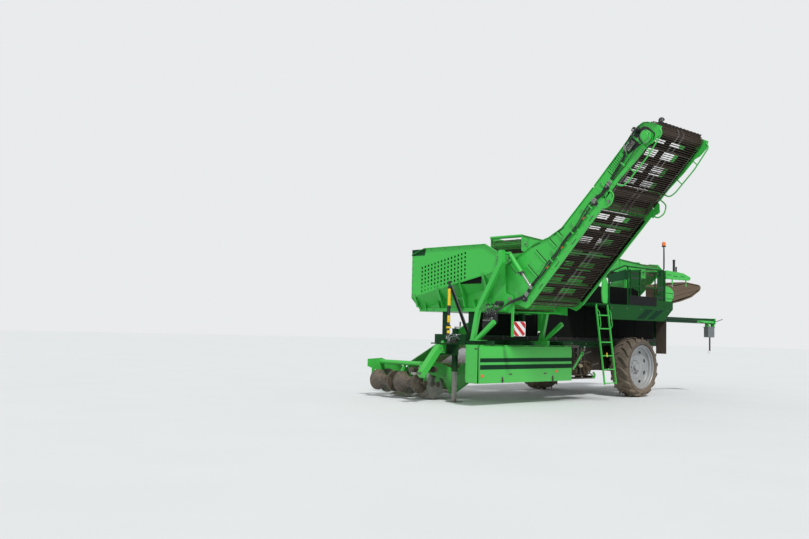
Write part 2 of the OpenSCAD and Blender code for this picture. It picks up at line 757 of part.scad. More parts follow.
module web2_frame() {
    place() translate([web2_a[0], 0, web2_a[1]]) rotate([0, 0, 180]) rotate([0, -web2_slope, 0]) children();
}

module second_channel() {
    wl = channel_l_y;
    wr = channel_r_y;
    color(green) {
        web2_frame() {
            for (y = [-wl, -wr - sheet])
                xz_plate(y, sheet, [[-90, -150], [web2_len - 10, -150], [web2_len - 10, 250], [-90, 330]]);
            y_cyl(roller_r, -wl + sheet, -wr - sheet, 0, 0);
            y_cyl(roller_r, -wl + sheet, -wr - sheet, web2_len, 0);
            for (l = [1000, 2000])
                y_cyl(30, -wl + sheet, -wr - sheet, l, 0);
        }
        place()
            for (x = web2_bearers, y = [channel_l_y - sheet, channel_r_y])
                block([x - 100, y, beam_z + 120], [x, y + sheet, 1650]);
    }
}

module second_web() {
    w = channel_l_y - channel_r_y - 2 * sheet - 30;
    color(web_brown) web2_frame() translate([0, -channel_l_y + sheet + 15 + w, 0]) rotate([0, 0, -90])
        web(web2_len, w, [50, w / 3, 2 * w / 3, w - 50], 0, 400);
}

cross_x1 = -8010;
cross_x2 = -8930;
cross_a = [-1720, 1640];
cross_b = [-60, 3200];

module cross_elevator() {
    d = cross_b - cross_a;
    a = atan2(d[1], d[0]);
    color(green) place() {
        for (x = [cross_x1 - sheet, cross_x2])
            translate([0, cross_a[0], cross_a[1]]) rotate([a, 0, 0])
                yz_plate(x, sheet, [[-160, -170], [norm(d) + 140, -170], [norm(d) + 140, 60], [norm(d) - 40, 260],
                                    [200, 260], [-160, 150]]);
        for (p = [cross_a, cross_b])
            x_cyl(roller_r, cross_x2 + sheet, cross_x1 - sheet, p[0], p[1]);
        block([cross_x1, right_beam[0], beam_top], [cross_x1 + 80, right_beam[1], 2800]);
    }
}

module cross_web() {
    d = cross_b - cross_a;
    w = cross_x1 - cross_x2 - 2 * sheet - 30;
    color(web_brown) place() translate([cross_x2 + sheet + 15, cross_a[0], cross_a[1]]) rotate([atan2(d[1], d[0]), 0, 0])
        web(norm(d), w, [50, w - 50], 70, 420);
}

pick_y = [-650, 250];
pick_a = [-7800, 3060];
pick_b = [-3050, 3400];
pick_rise = (pick_b[1] - pick_a[1]) / (pick_b[0] - pick_a[0] + 240);

module picking_frame() {
    color(green) place() {
        for (y = [pick_y[0], pick_y[1] - sheet])
            xz_plate(y, sheet, [[pick_a[0] - 120, pick_a[1] - 160], [pick_b[0] + 120, pick_b[1] - 160],
                                [pick_b[0] + 120, pick_b[1] + 190], [pick_a[0] - 120, pick_a[1] + 190]]);
        for (p = [pick_a, pick_b])
            y_cyl(roller_r, pick_y[0] + sheet, pick_y[1] - sheet, p[0], p[1]);
        y_cyl(35, pick_y[0], pick_y[1], pick_b[0] + 110, pick_b[1] + 170);
        for (x = [-4200, -5600, -7100])
            for (y = [pick_y[0], pick_y[1] - 60])
                block([x, y, deck_z], [x + 80, y + 60, pick_a[1] - 140 + pick_rise * (x - pick_a[0] + 120)]);
    }
}

module picking_web() {
    d = [pick_a[0] - pick_b[0], pick_b[1] - pick_a[1]];
    w = pick_y[1] - pick_y[0] - 2 * sheet - 30;
    color(web_brown) place() translate([pick_a[0], pick_y[1] - sheet - 15, pick_a[1]])
        rotate([0, -atan2(d[1], -d[0]), 0]) rotate([0, 0, -90])
            web(norm(d), w, [50, w - 50], 0, 400);
}

module deck_post(x, b, z) {
    block([x, b[0], beam_top], [x + 100, b[1], z]);
}

guard_y = 1054;
ladder_top = deck_z - 20;
ladder_pin_r = 14;
ladder_ears = [ladder_x1 - ladder_w - 34, ladder_x1 + 22];

module left_platform() {
    y1 = pick_y[1] - 60;
    color(dark_green) place() {
        block([deck_x2, y1, deck_z - 40], [ladder_x1 + 60, left_y, deck_z]);
        for (x = [deck_x1 - 100, -5600, arm_x1, deck_x2])
            deck_post(x, left_beam, deck_z - 40);
        block([ladder_x1, pick_y[1] - 60, deck_z - 40], [-4080, left_beam[1], deck_z]);
        for (x = ladder_ears)
            difference() {
                block([x, left_y, ladder_top - 25], [x + 12, left_y + 55, ladder_top + 18]);
                x_cyl(ladder_pin_r + pin_fit, x - 1, x + 13, left_y + 30, ladder_top);
            }
        deck_post(-4200, left_beam, deck_z - 40);
        xz_plate(left_y - sheet, sheet, [[deck_x1, deck_z - 40], [deck_x1, 1800], [-7210, 1800], [deck_x2, deck_z - 40]]);
        block([deck_x2, left_y - 12, deck_z], [-5680, left_y, deck_z + 150]);
        for (x = [deck_x1 - 20, -5680, -7250]) {
            translate([x, left_y - 30, deck_z]) cylinder(r = rail_r, h = rail_h);
        }
        for (z = [0.5, 1])
            x_cyl(rail_r, -7250, -5680, left_y - 30, deck_z + rail_h * z);
        for (x = [-5970, -6370, -7040, -7490])
            block([x, guard_y, deck_z], [x + 24, guard_y + 24, deck_z + rail_h - 60]);
    }
    color(green) place() {
        difference() {
            xz_plate(guard_y, sheet, [[-5930, deck_z + 830], [-5940, deck_z + 450], [-6390, deck_z + 320],
                                      [-6420, deck_z + 880]]);
            y_cyl(25, guard_y - 1, guard_y + sheet + 1, -6270, deck_z + 530);
        }
        xz_plate(guard_y, sheet, [[-7140, deck_z + 880], [-7140, deck_z + 340], [-7010, deck_z + 260],
                                  [-7010, deck_z + 170], [-7140, deck_z + 110], [-7520, deck_z + 110],
                                  [-7520, deck_z + 920]]);
    }
}

module right_platform() {
    y2 = pick_y[0] + 60;
    color(dark_green) place() {
        block([deck_x2, -1500, deck_z - 40], [-4080, y2, deck_z]);
        for (x = [-4200, -5600, -7100])
            block([x, right_beam[0], beam_top], [x + 100, right_beam[1], deck_z - 40]);
        for (x = [-4200, -5600, -7100])
            block([x, y2, deck_z - 40], [x + 100, right_beam[1], deck_z]);
        for (x = [-4200, -5800, -7500])
            translate([x, -1470, deck_z]) cylinder(r = rail_r, h = rail_h);
        for (z = [0.5, 1])
            x_cyl(rail_r, -7500, -4200, -1470, deck_z + rail_h * z);
    }
}

module ladder() {
    len = (ladder_top - 360) / cos(ladder_lean);
    color(green) place() translate([ladder_x1 - ladder_w, left_y + 30, ladder_top]) rotate([ladder_lean, 0, 0]) {
        for (x = [0, ladder_w - 25])
            translate([x, -20, -len]) cube([25, 40, len]);
        for (i = [0:5])
            translate([25, -20, -len + 60 + i * rung_pitch]) cube([ladder_w - 50, 40, 25]);
    }
    color(dark_green) place()
        x_cyl(ladder_pin_r, ladder_x1 - ladder_w - 40, ladder_x1 + 40, left_y + 30, ladder_top);
}

module console() {
    color(dark_green) place() {
        block([-6250, pick_y[1], 3160], [-5950, pick_y[1] + 160, 3860]);
    }
}

module beacon() {
    color(black) place() {
        translate([-7250, left_y - 30, deck_z + rail_h + rail_r]) cylinder(r = 15, h = 3640 - deck_z - rail_h - rail_r);
    }
    color("orange") place()
        translate([-7250, left_y - 30, 3640]) cylinder(r = 50, h = 110);
}

trash_y = [350, 1050];
trash_loop = [[-7760, 2240], [-8300, 2330], [-8800, 2450], [-9230, trash_z - 80], [-9290, trash_z],
              [-9230, trash_z + 70], [-8550, 2830], [-7760, 2720]];
trash_inside = [[-7760 - trash_belt, 2240 + trash_belt + 5], [-8800, 2450 + trash_belt + 2],
                [-9220, trash_z - 76 + trash_belt], [-9290 + trash_belt + 8, trash_z],
                [-9220, trash_z + 70 - trash_belt], [-8550, 2830 - trash_belt],
                [-7760 - trash_belt, 2720 - trash_belt]];
trash_rollers = [[-7870, 2480], [-9180, trash_z - 10]];

module trash_conveyor() {
    guard = trash_y[1] - 6;
    color(web_brown) place() {
        translate([0, trash_y[1] - 5, 0]) rotate([90, 0, 0]) linear_extrude(trash_y[1] - trash_y[0] - 10) difference() {
            polygon(trash_loop);
            polygon(trash_inside);
        }
        for (r = trash_rollers)
            y_cyl(68, trash_y[0] + 2, trash_y[1] - 2, r[0], r[1]);
        for (y = [trash_y[0], trash_y[1] - sheet])
            xz_bar(trash_rollers[1], trash_rollers[0], 90, y, sheet);
        block([frame_x2 + 100, left_beam[0] + 10, beam_top], [frame_x2 + 180, left_beam[1] - 10, 2340]);
    }
    color(green) place() {
        xz_plate(guard, sheet, [[-7540, 2250], [-7540, 2680], [-7780, 2650], [-7910, 2560], [-7930, 2460],
                                [-7860, 2340], [-7740, 2260]]);
        xz_plate(guard, sheet, [[-7560, 2860], [-8700, 2880], [-8770, 2950], [-8400, 3040], [-7560, 3070]]);
        for (x = [-7900, -8560])
            block([x, guard - 20, 2710], [x + 40, guard, 2900]);
    }
}

module rear_arm() {
    color(dark_green) place() {
        block([arm_x2, left_y - 120, arm_z - arm_s / 2], [arm_x1, left_y - 40, arm_z + arm_s / 2]);
        block([arm_x1 - 80, left_beam[0], arm_z - arm_s / 2], [arm_x1, left_y - 40, arm_z + arm_s / 2]);
        block([arm_x1 - 270, left_y - 300, arm_z - 865], [arm_x1 - 250, left_y - 20, arm_z - arm_s / 2]);
    }
    color(green) place()
        block([arm_x2 - 20, left_y - 180, arm_z - 85], [arm_x2, left_y, arm_z + 55]);
    color("#9aa09f") place()
        block([arm_x2 + 80, left_y - 160, arm_z - 315], [arm_x2 + 340, left_y - 20, arm_z - arm_s / 2]);
    color(black) place()
        translate([arm_x2 + 40, left_y - 80, arm_z - 495]) cylinder(r = 12, h = 495);
}

cover_pin = [left_y - 53, box_z2 - 10];
cover_pin_r = 6;
end_t = 6;

module side_box() {
    y1 = left_y - box_depth;
    color(green) place() {
        block([box_x2, y1, box_z1], [box_x1, y1 + 6, box_z2]);
        block([box_x2, y1, box_z1], [box_x1, left_y - 40, box_z1 + 6]);
        block([box_x2, y1, box_z2 - 6], [box_x1, cover_pin[0] - cover_pin_r - 5, box_z2]);
        for (x = [box_x1 - end_t, box_x2])
            difference() {
                union() {
                    block([x, y1, box_z1], [x + end_t, left_y - 60, box_z2]);
                    block([x, y1, box_z2 - 25], [x + end_t, cover_pin[0] + 14, box_z2]);
                }
                x_cyl(cover_pin_r + pin_fit, x - 1, x + end_t + 1, cover_pin[0], cover_pin[1]);
            }
    }
}

// The cover hangs on a pin that runs in the ends of the box
module side_cover() {
    x1 = box_x1 - end_t - 6;
    x2 = box_x2 + end_t + 6;
    color(green) place() {
        xz_plate(left_y - 26, 26, [[x1, box_z1], [x1, box_z2 - 90], [x2, box_z2 - 90], [x2, box_z1]]);
        translate([x2, 0, 0]) rotate([90, 0, 90]) linear_extrude(x1 - x2)
            polygon([[left_y - 26, box_z2 - 91], [left_y, box_z2 - 91], [left_y - 26, box_z2 - 20],
                     [left_y - 46, box_z2 - 20]]);
        for (x = [x2 + 100, (x1 + x2) / 2, x1 - 160])
            block([x, cover_pin[0] - 3, cover_pin[1] - 14], [x + 60, left_y - 30, cover_pin[1]]);
        x_cyl(cover_pin_r, box_x2, box_x1, cover_pin[0], cover_pin[1]);
    }
}

module drive_unit() {
    wheels = [[drive_x2 + 220, 150, 700], [drive_x1 - 290, 95, 640]];
    color(black) place() {
        block([drive_x2, 620, 470], [drive_x1, 1100, 490]);
        for (x = [drive_x2 + 70, drive_x1 - 140])
            block([x, 640, 490], [x + 60, 700, outrigger_z]);
        block([drive_x2 + 70, left_beam[1], outrigger_z - 60], [drive_x1 - 80, 700, outrigger_z]);
        for (w = wheels) {
            y_cyl(w[1], 780, 1070, w[0], w[2]);
            block([w[0] - 55, 780, 490], [w[0] + 55, 1070, w[2]]);
        }
    }
}

module oil_tank() {
    color(dark_green) place()
        block([-4700, right_beam[1], beam_z - 150], [-3200, left_beam[0], beam_top - 20]);
}

module axle() {
    color(dark_green) place() {
        y1 = wheel_r_y + kingpin_in + 60;
        y2 = wheel_l_y - kingpin_in - 60;
        block([wheel_x - axle_s / 2, y1, tyre_r - axle_s / 2], [wheel_x + axle_s / 2, y2, tyre_r + axle_s / 2]);
        for (k = [0, 1]) {
            y = k == 0 ? y2 : y1;
            pin_y = k == 0 ? y + 60 : y - 60;
            for (z = [tyre_r + 95, tyre_r - 125])
                difference() {
                    union() {
                        block([wheel_x - 60, min(y - 60, pin_y), z], [wheel_x + 60, max(y + 60, pin_y), z + 30]);
                        translate([wheel_x, pin_y, z]) cylinder(r = 60, h = 30);
                    }
                    translate([wheel_x, pin_y, z - 1]) cylinder(r = kingpin_r + pin_fit, h = 32);
                }
            block([wheel_x - 60, k == 0 ? y - 60 : y, tyre_r - 125], [wheel_x + 60, k == 0 ? y : y + 60, tyre_r + 125]);
        }
    }
}

module knuckle(side) {
    pin_y = side > 0 ? wheel_l_y - kingpin_in : wheel_r_y + kingpin_in;
    color(steel) place() translate([wheel_x, pin_y, tyre_r]) {
        cylinder(r = kingpin_r, h = 280, center = true);
        translate([0, 0, -90]) cylinder(r = 52, h = 180);
        rotate([side > 0 ? -90 : 90, 0, 0]) cylinder(r = stub_r, h = kingpin_in - 10);
        translate([-steer_arm, -25, -88]) cube([steer_arm, 50, 30]);
        translate([-steer_arm, 0, -88]) cylinder(r = 40, h = 30);
    }
}

module knuckle_left() {
    knuckle(1);
}

module knuckle_right() {
    knuckle(-1);
}

module tie_rod() {
    y1 = wheel_r_y + kingpin_in;
    y2 = wheel_l_y - kingpin_in;
    color(steel) place() {
        y_cyl(22, y1 + 30, y2 - 30, wheel_x - steer_arm, tyre_r - 120);
        for (y = [y1, y2])
            translate([wheel_x - steer_arm, y, tyre_r - 140]) cylinder(r = 38, h = 52 - seat_gap);
    }
}

// Rim about its own axle line, its outer side towards +Z of the local frame
module rim() {
    half = tyre_w / 2;
    bead = half - 45;
    difference() {
        rotate_extrude() union() {
            polygon([[seat_r - 14, -bead], [seat_r - seat_gap, -bead], [seat_r - seat_gap, bead], [seat_r - 14, bead]]);
            polygon([[seat_r - 14, bead], [seat_r - 14, bead + 16], [seat_r + 14, bead + 16], [seat_r + 14, bead + 2],
                     [seat_r - seat_gap, bead]]);
            polygon([[seat_r - 14, -bead], [seat_r - 14, -bead - 16], [seat_r + 14, -bead - 16],
                     [seat_r + 14, -bead - 2], [seat_r - seat_gap, -bead]]);
            polygon([[stub_r + pin_fit, -40], [150, -40], [200, 20], [300, 60], [seat_r - 13, 60], [seat_r - 13, 76],
                     [296, 76], [190, 36], [120, 90], [stub_r + pin_fit, 90]]);
        }
        for (i = [0:7])
            rotate(i * 45) translate([390, 0, 0]) cylinder(r = 34, h = 200);
    }
    cylinder(r = 90, h = 108);
}

module tyre() {
    half = tyre_w / 2;
    bead = half - 45;
    crown = tyre_r - lug_h;
    rotate_extrude()
        polygon([[seat_r, -bead], [seat_r + 18, -bead], [seat_r + 44, -half + 4], [seat_r + 100, -half], [crown - 70, -half + 8],
                 [crown - 12, -half + 40], [crown, -half + 90], [crown, half - 90], [crown - 12, half - 40],
                 [crown - 70, half - 8], [seat_r + 100, half], [seat_r + 44, half - 4], [seat_r + 18, bead],
                 [seat_r, bead]]);
    for (k = [-1, 1], i = [0:lug_count - 1])
        rotate((i + (k > 0 ? 0.5 : 0)) * 360 / lug_count)
            intersection() {
                translate([crown - 60, 0, 0]) rotate([k * 38, 0, 0]) translate([0, -26, k > 0 ? -20 : -380])
                    cube([60 + lug_h, 52, 400]);
                rotate(-20) rotate_extrude(angle = 40)
                    polygon([[crown - 60, -half + 4], [tyre_r - 26, -half + 4], [tyre_r, -half + 60],
                             [tyre_r, half - 60], [tyre_r - 26, half - 4], [crown - 60, half - 4]]);
            }
}

module at_wheel(side) {
    place() translate([wheel_x, side > 0 ? wheel_l_y : wheel_r_y, tyre_r]) rotate([side > 0 ? -90 : 90, 0, 0]) children();
}

module rim_left() {
    color("#d5d7d8") at_wheel(1) rim();
}

module rim_right() {
    color("#d5d7d8") at_wheel(-1) rim();
}

module tyre_left() {
    color("#4a443e") at_wheel(1) tyre();
}

module tyre_right() {
    color("#4a443e") at_wheel(-1) tyre();
}

main_frame();
drawbar();
towing_eye();
pto_shaft();
jack_sleeve();
jack_leg();
hose_post();
bunker();
bunker_floor();
bunker_legs();
valve_block();
warning_board();
elevator_frame();
elevator_web();
head_frame();
head_web();
head_lamp();
lift_barrels();
lift_rods();
digger_frame();
shares();
disc_coulters();
ridge_rollers();
web_channel();
sieving_web();
second_channel();
second_web();
cross_elevator();
cross_web();
picking_frame();
picking_web();
left_platform();
right_platform();
ladder();
console();
beacon();
trash_conveyor();
rear_arm();
side_box();
side_cover();
drive_unit();
oil_tank();
axle();
knuckle_left();
knuckle_right();
tie_rod();
rim_left();
tyre_left();
rim_right();
tyre_right();
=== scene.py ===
"""Looks of a trailed two-row potato harvester, dressed round its solid frame.

Everything is in metres in the frame of the towing eye: +X is the way of travel, +Y the machine's left, +Z up.
"""

from __future__ import annotations

import json
import logging
import sys
from collections.abc import Callable, Iterable, Sequence
from dataclasses import dataclass
from enum import Enum
from math import atan2, cos, degrees, hypot, pi, radians, sin, tan, tau

import bpy
from mathutils import Matrix, Vector

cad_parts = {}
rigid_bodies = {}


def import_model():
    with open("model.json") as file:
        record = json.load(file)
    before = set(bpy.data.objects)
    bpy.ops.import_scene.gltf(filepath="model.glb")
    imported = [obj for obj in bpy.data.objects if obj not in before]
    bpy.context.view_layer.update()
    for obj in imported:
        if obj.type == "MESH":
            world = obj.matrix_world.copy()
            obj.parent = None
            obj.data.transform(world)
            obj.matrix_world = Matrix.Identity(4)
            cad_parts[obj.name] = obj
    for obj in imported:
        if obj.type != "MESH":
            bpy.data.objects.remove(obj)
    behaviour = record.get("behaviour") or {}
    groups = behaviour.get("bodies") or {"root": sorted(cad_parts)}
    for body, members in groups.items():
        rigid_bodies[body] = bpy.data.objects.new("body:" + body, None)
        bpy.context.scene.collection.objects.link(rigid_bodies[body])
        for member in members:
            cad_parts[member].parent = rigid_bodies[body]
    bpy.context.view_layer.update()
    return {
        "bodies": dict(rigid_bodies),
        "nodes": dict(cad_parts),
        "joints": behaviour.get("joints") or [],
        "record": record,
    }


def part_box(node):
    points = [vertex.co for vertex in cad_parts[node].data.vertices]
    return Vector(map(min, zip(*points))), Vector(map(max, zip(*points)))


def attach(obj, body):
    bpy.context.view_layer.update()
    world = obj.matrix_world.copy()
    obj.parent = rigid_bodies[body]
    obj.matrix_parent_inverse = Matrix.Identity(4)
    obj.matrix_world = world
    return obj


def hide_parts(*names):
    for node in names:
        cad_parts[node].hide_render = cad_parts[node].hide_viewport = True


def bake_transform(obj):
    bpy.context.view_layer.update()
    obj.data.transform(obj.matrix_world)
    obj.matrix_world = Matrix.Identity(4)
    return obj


LOG = logging.getLogger("harvester")
EYE_HEIGHT = 0.6
Piece = bpy.types.Object
Pair = tuple[float, float]
Spot = tuple[float, float, float]
# Ways along the axes, for what points or turns along them
X_WAY, Y_WAY, Z_WAY = (1, 0, 0), (0, 1, 0), (0, 0, 1)


def above(height: float) -> float:
    """Turn a height above the ground into the frame of the towing eye."""
    return height - EYE_HEIGHT


def moved(x: float, y: float, z: float) -> Matrix:
    """Give the matrix of a move."""
    return Matrix.Translation((x, y, z))


def turned(axis: str, angle: float) -> Matrix:
    """Give the matrix of a turn in degrees about an axis through the origin."""
    return Matrix.Rotation(radians(angle), 4, axis)


def aimed(at: Sequence[float], way: Sequence[float]) -> Matrix:
    """Give a frame at a place with its Z axis along a way."""
    return Matrix.Translation(at) @ Vector(way).to_track_quat("Z", "Y").to_matrix().to_4x4()


def climb(run: Pair) -> float:
    """Give the slope of a run in degrees, from how far it goes and how far it climbs."""
    return degrees(atan2(run[1], run[0]))


# Modelling


def clear_selection() -> None:
    """Leave edit mode and deselect everything."""
    if bpy.context.mode != "OBJECT":
        bpy.ops.object.mode_set(mode="OBJECT")
    bpy.ops.object.select_all(action="DESELECT")


def pick(piece: Piece) -> None:
    """Select one piece alone and make it active.

    Args:
        piece: The piece to select.
    """
    clear_selection()
    piece.select_set(True)
    bpy.context.view_layer.objects.active = piece


def edit(piece: Piece) -> None:
    """Open a piece in edit mode with all of it selected.

    Args:
        piece: The piece to open.
    """
    pick(piece)
    bpy.ops.object.mode_set(mode="EDIT")
    bpy.ops.mesh.select_all(action="SELECT")


def primitive(operator: Callable[..., set[str]], **settings: object) -> Piece:
    """Add a primitive and put its place and turn into its mesh.

    Args:
        operator: The operator that adds the primitive.
        settings: What the operator is given.

    Returns:
        The new piece.
    """
    clear_selection()
    operator(**settings)
    piece = bpy.context.active_object
    bpy.ops.object.transform_apply(location=True, rotation=True, scale=True)
    return piece


def shaped(piece: Piece, kind: str, **settings: object) -> Piece:
    """Add a modifier to a piece and apply it.

    Args:
        piece: The piece.
        kind: The modifier's type.
        settings: The modifier's settings.

    Returns:
        The same piece.
    """
    pick(piece)
    modifier = piece.modifiers.new(kind.title(), kind)
    for key, value in settings.items():
        setattr(modifier, key, value)
    bpy.ops.object.modifier_apply(modifier=modifier.name)
    return piece


def eased(piece: Piece, edge: float, segments: int = 1) -> Piece:
    """Break the sharp edges of a piece.

    Args:
        piece: The piece.
        edge: Width of the broken edge. Nothing is done at 0.
        segments: Faces across the broken edge.

    Returns:
        The same piece.
    """
    if edge > 0:
        shaped(piece, "BEVEL", width=edge, segments=segments, limit_method="ANGLE", angle_limit=radians(40))
    return piece


def block(lo: Sequence[float], hi: Sequence[float], edge: float = 0.003) -> Piece:
    """Make a block between two corners, with broken edges.

    Args:
        lo: Lowest corner.
        hi: Highest corner.
        edge: Width of the broken edges.

    Returns:
        The block.
    """
    low, high = Vector(lo), Vector(hi)
    size = high - low
    cube = primitive(bpy.ops.mesh.primitive_cube_add, size=1, location=(low + high) / 2, scale=size)
    return eased(cube, min(edge, min(size) / 3))


def bar(start: Sequence[float], end: Sequence[float], radius: float, sides: int = 16, edge: float = 0.0) -> Piece:
    """Make a straight round bar.

    Args:
        start: Middle of one end.
        end: Middle of the other end.
        radius: Radius of the bar.
        sides: Faces round the bar.
        edge: Width of the broken edges.

    Returns:
        The bar.
    """
    a, b = Vector(start), Vector(end)
    turn = (b - a).to_track_quat("Z", "Y").to_euler()
    piece = primitive(bpy.ops.mesh.primitive_cylinder_add, vertices=sides, radius=radius, depth=(b - a).length,
        location=(a + b) / 2, rotation=turn)
    return eased(piece, edge)


def plate(outline: Sequence[Pair], thick: float, place: Matrix, edge: float = 0.0) -> Piece:
    """Make a flat plate from its outline.

    Args:
        outline: Corners of the plate, on its own plane.
        thick: Thickness, along the plane's third axis.
        place: Where the plane lies.
        edge: Width of the broken edges.

    Returns:
        The plate.
    """
    piece = primitive(bpy.ops.mesh.primitive_circle_add, vertices=len(outline), radius=1, fill_type="NGON")
    for vertex, point in zip(piece.data.vertices, outline):
        vertex.co = (point[0], point[1], 0)
    edit(piece)
    bpy.ops.mesh.extrude_region_move(TRANSFORM_OT_translate={"value": (0, 0, thick)})
    bpy.ops.mesh.select_all(action="SELECT")
    bpy.ops.mesh.normals_make_consistent(inside=False)
    bpy.ops.object.mode_set(mode="OBJECT")
    piece.data.transform(place)
    if place.determinant() < 0:
        piece.data.flip_normals()
    return eased(piece, edge)


def across(x: float) -> Matrix:
    """Give the plane whose outlines are written as (y, z), at x and growing towards +X."""
    return Matrix(((0, 0, 1, x), (1, 0, 0, 0), (0, 1, 0, 0), (0, 0, 0, 1)))


def along(y: float) -> Matrix:
    """Give the plane whose outlines are written as (x, z), at y and growing towards -Y."""
    return Matrix(((1, 0, 0, 0), (0, 0, -1, y), (0, 1, 0, 0), (0, 0, 0, 1)))


def bent(path: Sequence[Sequence[float]], corner: float, closed: bool = False) -> list[Vector]:
    """Round the corners of a path.

    Args:
        path: Corners of the path.
        corner: How far from each corner the rounding starts.
        closed: Whether the last corner joins the first.

    Returns:
        The points of the rounded path.
    """
    steps = 5
    corners = [Vector(p) for p in path]
    points = []
    for i, here in enumerate(corners):
        if corner == 0 or (not closed and i in (0, len(corners) - 1)):
            points.append(here)
            continue
        before, after = corners[i - 1], corners[(i + 1) % len(corners)]
        a = here + (before - here).normalized() * min(corner, (before - here).length / 2)
        b = here + (after - here).normalized() * min(corner, (after - here).length / 2)
        for k in range(steps + 1):
            t = k / steps
            points.append(a.lerp(here, t).lerp(here.lerp(b, t), t))
    return points


def tube(path: Sequence[Sequence[float]], radius: float, corner: float = 0.0, closed: bool = False, sides: int = 8,
        place: Matrix | None = None) -> Piece:
    """Make a bent tube or hose.

    Args:
        path: Corners of its middle line.
        radius: Radius of the tube.
        corner: How far from each corner its bend starts.
        closed: Whether it is a closed loop.
        sides: Faces round it, a multiple of 4.
        place: Where the path's own frame lies.

    Returns:
        The tube.
    """
    points = bent(path, corner, closed)
    curve = bpy.data.curves.new("tube", "CURVE")
    curve.dimensions = "3D"
    curve.bevel_depth = radius
    curve.bevel_resolution = sides // 4
    curve.use_fill_caps = True
    line = curve.splines.new("POLY")
    line.points.add(len(points) - 1)
    for point, spot in zip(line.points, points):
        point.co = (*spot, 1)
    line.use_cyclic_u = closed
    piece = bpy.data.objects.new("tube", curve)
    bpy.context.scene.collection.objects.link(piece)
    pick(piece)
    bpy.ops.object.convert(target="MESH")
    piece = bpy.context.active_object
    piece.data.transform(place or Matrix())
    return piece


def spun(profile: Sequence[Pair], place: Matrix, steps: int = 64) -> Piece:
    """Turn a closed profile once round its axis.

    Args:
        profile: Corners as (radius, height along the axis), none of them on the axis.
        place: Where the axis lies. It is the Z axis of its own frame.
        steps: Faces round the axis.

    Returns:
        The turned piece.
    """
    piece = primitive(bpy.ops.mesh.primitive_circle_add, vertices=len(profile), radius=1, fill_type="NOTHING")
    for vertex, point in zip(piece.data.vertices, profile):
        vertex.co = (point[0], 0, point[1])
    edit(piece)
    bpy.ops.mesh.spin(steps=steps, angle=tau, center=(0, 0, 0), axis=Z_WAY)
    bpy.ops.mesh.select_all(action="SELECT")
    bpy.ops.mesh.remove_doubles(threshold=1e-5)
    bpy.ops.mesh.normals_make_consistent(inside=False)
    bpy.ops.object.mode_set(mode="OBJECT")
    piece.data.transform(place)
    return piece


def twin(piece: Piece, place: Matrix) -> Piece:
    """Copy a piece and its mesh to another place.

    Args:
        piece: The piece, which stays.
        place: Where the copy goes, seen from the piece.

    Returns:
        The copy.
    """
    other = piece.copy()
    other.data = piece.data.copy()
    other.data.transform(place)
    if place.determinant() < 0:
        other.data.flip_normals()
    bpy.context.scene.collection.objects.link(other)
    return other


def copies(piece: Piece, places: Iterable[Matrix]) -> list[Piece]:
    """Copy a piece to several places, and take the first one away.

    Args:
        piece: What repeats, made at the origin.
        places: Where each copy goes.

    Returns:
        The copies, each with its own mesh.
    """
    twins = [twin(piece, place) for place in places]
    bpy.data.objects.remove(piece)
    return twins


def joined(pieces: Sequence[Piece]) -> Piece:
    """Join pieces into one.

    Args:
        pieces: What is joined. The first gives its name and its first material.

    Returns:
        The joined piece.
    """
    if len(pieces) > 1:
        clear_selection()
        names = [piece.name for piece in pieces[1:]]
        for piece in pieces:
            piece.select_set(True)
        bpy.context.view_layer.objects.active = pieces[0]
        bpy.ops.object.join()
        for name in names:
            emptied = bpy.data.objects.get(name)
            if emptied is not None:
                bpy.data.objects.remove(emptied)
    return pieces[0]


def mirrored(piece: Piece, x: float) -> Piece:
    """Copy a piece to the other side of an upright plane at x, across the machine."""
    return twin(piece, moved(x, 0, 0) @ Matrix.Scale(-1, 4, X_WAY) @ moved(-x, 0, 0))


# Finishes


class Slot(Enum):
    """The record's material slots."""

    GREEN = "green_paint"
    DARK_GREEN = "dark_green_paint"
    BLACK = "black_paint"
    STEEL = "steel"
    WEB = "web_steel"
    HOSE = "hose"
    RIM = "rim_silver"
    TYRE = "tyre_rubber"
    LENS = "lamp_lens"
    AMBER = "beacon_amber"
    BOARD = "board_white"


# The slots under their short names
GREEN, DARK_GREEN, BLACK, STEEL, WEB, HOSE, RIM, TYRE, LENS, AMBER, BOARD = Slot


def colour(code: str) -> tuple[float, float, float, float]:
    """Turn an sRGB hex code into a linear colour.

    Args:
        code: Six hex digits after a hash sign.

    Returns:
        Linear red, green, blue and full alpha.
    """
    parts = [int(code[i:i + 2], 16) / 255 for i in (1, 3, 5)]
    linear = [c / 12.92 if c <= 0.04045 else ((c + 0.055) / 1.055) ** 2.4 for c in parts]
    return (*linear, 1.0)


def add_node(tree: bpy.types.NodeTree, kind: str, settings: dict[str | int, object] | None = None,
        links: dict[str | int, bpy.types.NodeSocket] | None = None) -> bpy.types.Node:
    """Add a shader node with its settings and links.

    Args:
        tree: The material's node tree.
        kind: The node's type, without ShaderNode before it.
        settings: Values of its inputs or properties, by name or input number.
        links: What feeds its inputs, by name or input number.

    Returns:
        The node.
    """
    node = tree.nodes.new("ShaderNode" + kind)
    for key, value in (settings or {}).items():
        if isinstance(key, int) or key in node.inputs:
            node.inputs[key].default_value = value
        else:
            setattr(node, key, value)
    for key, socket in (links or {}).items():
        tree.links.new(socket, node.inputs[key])
    return node


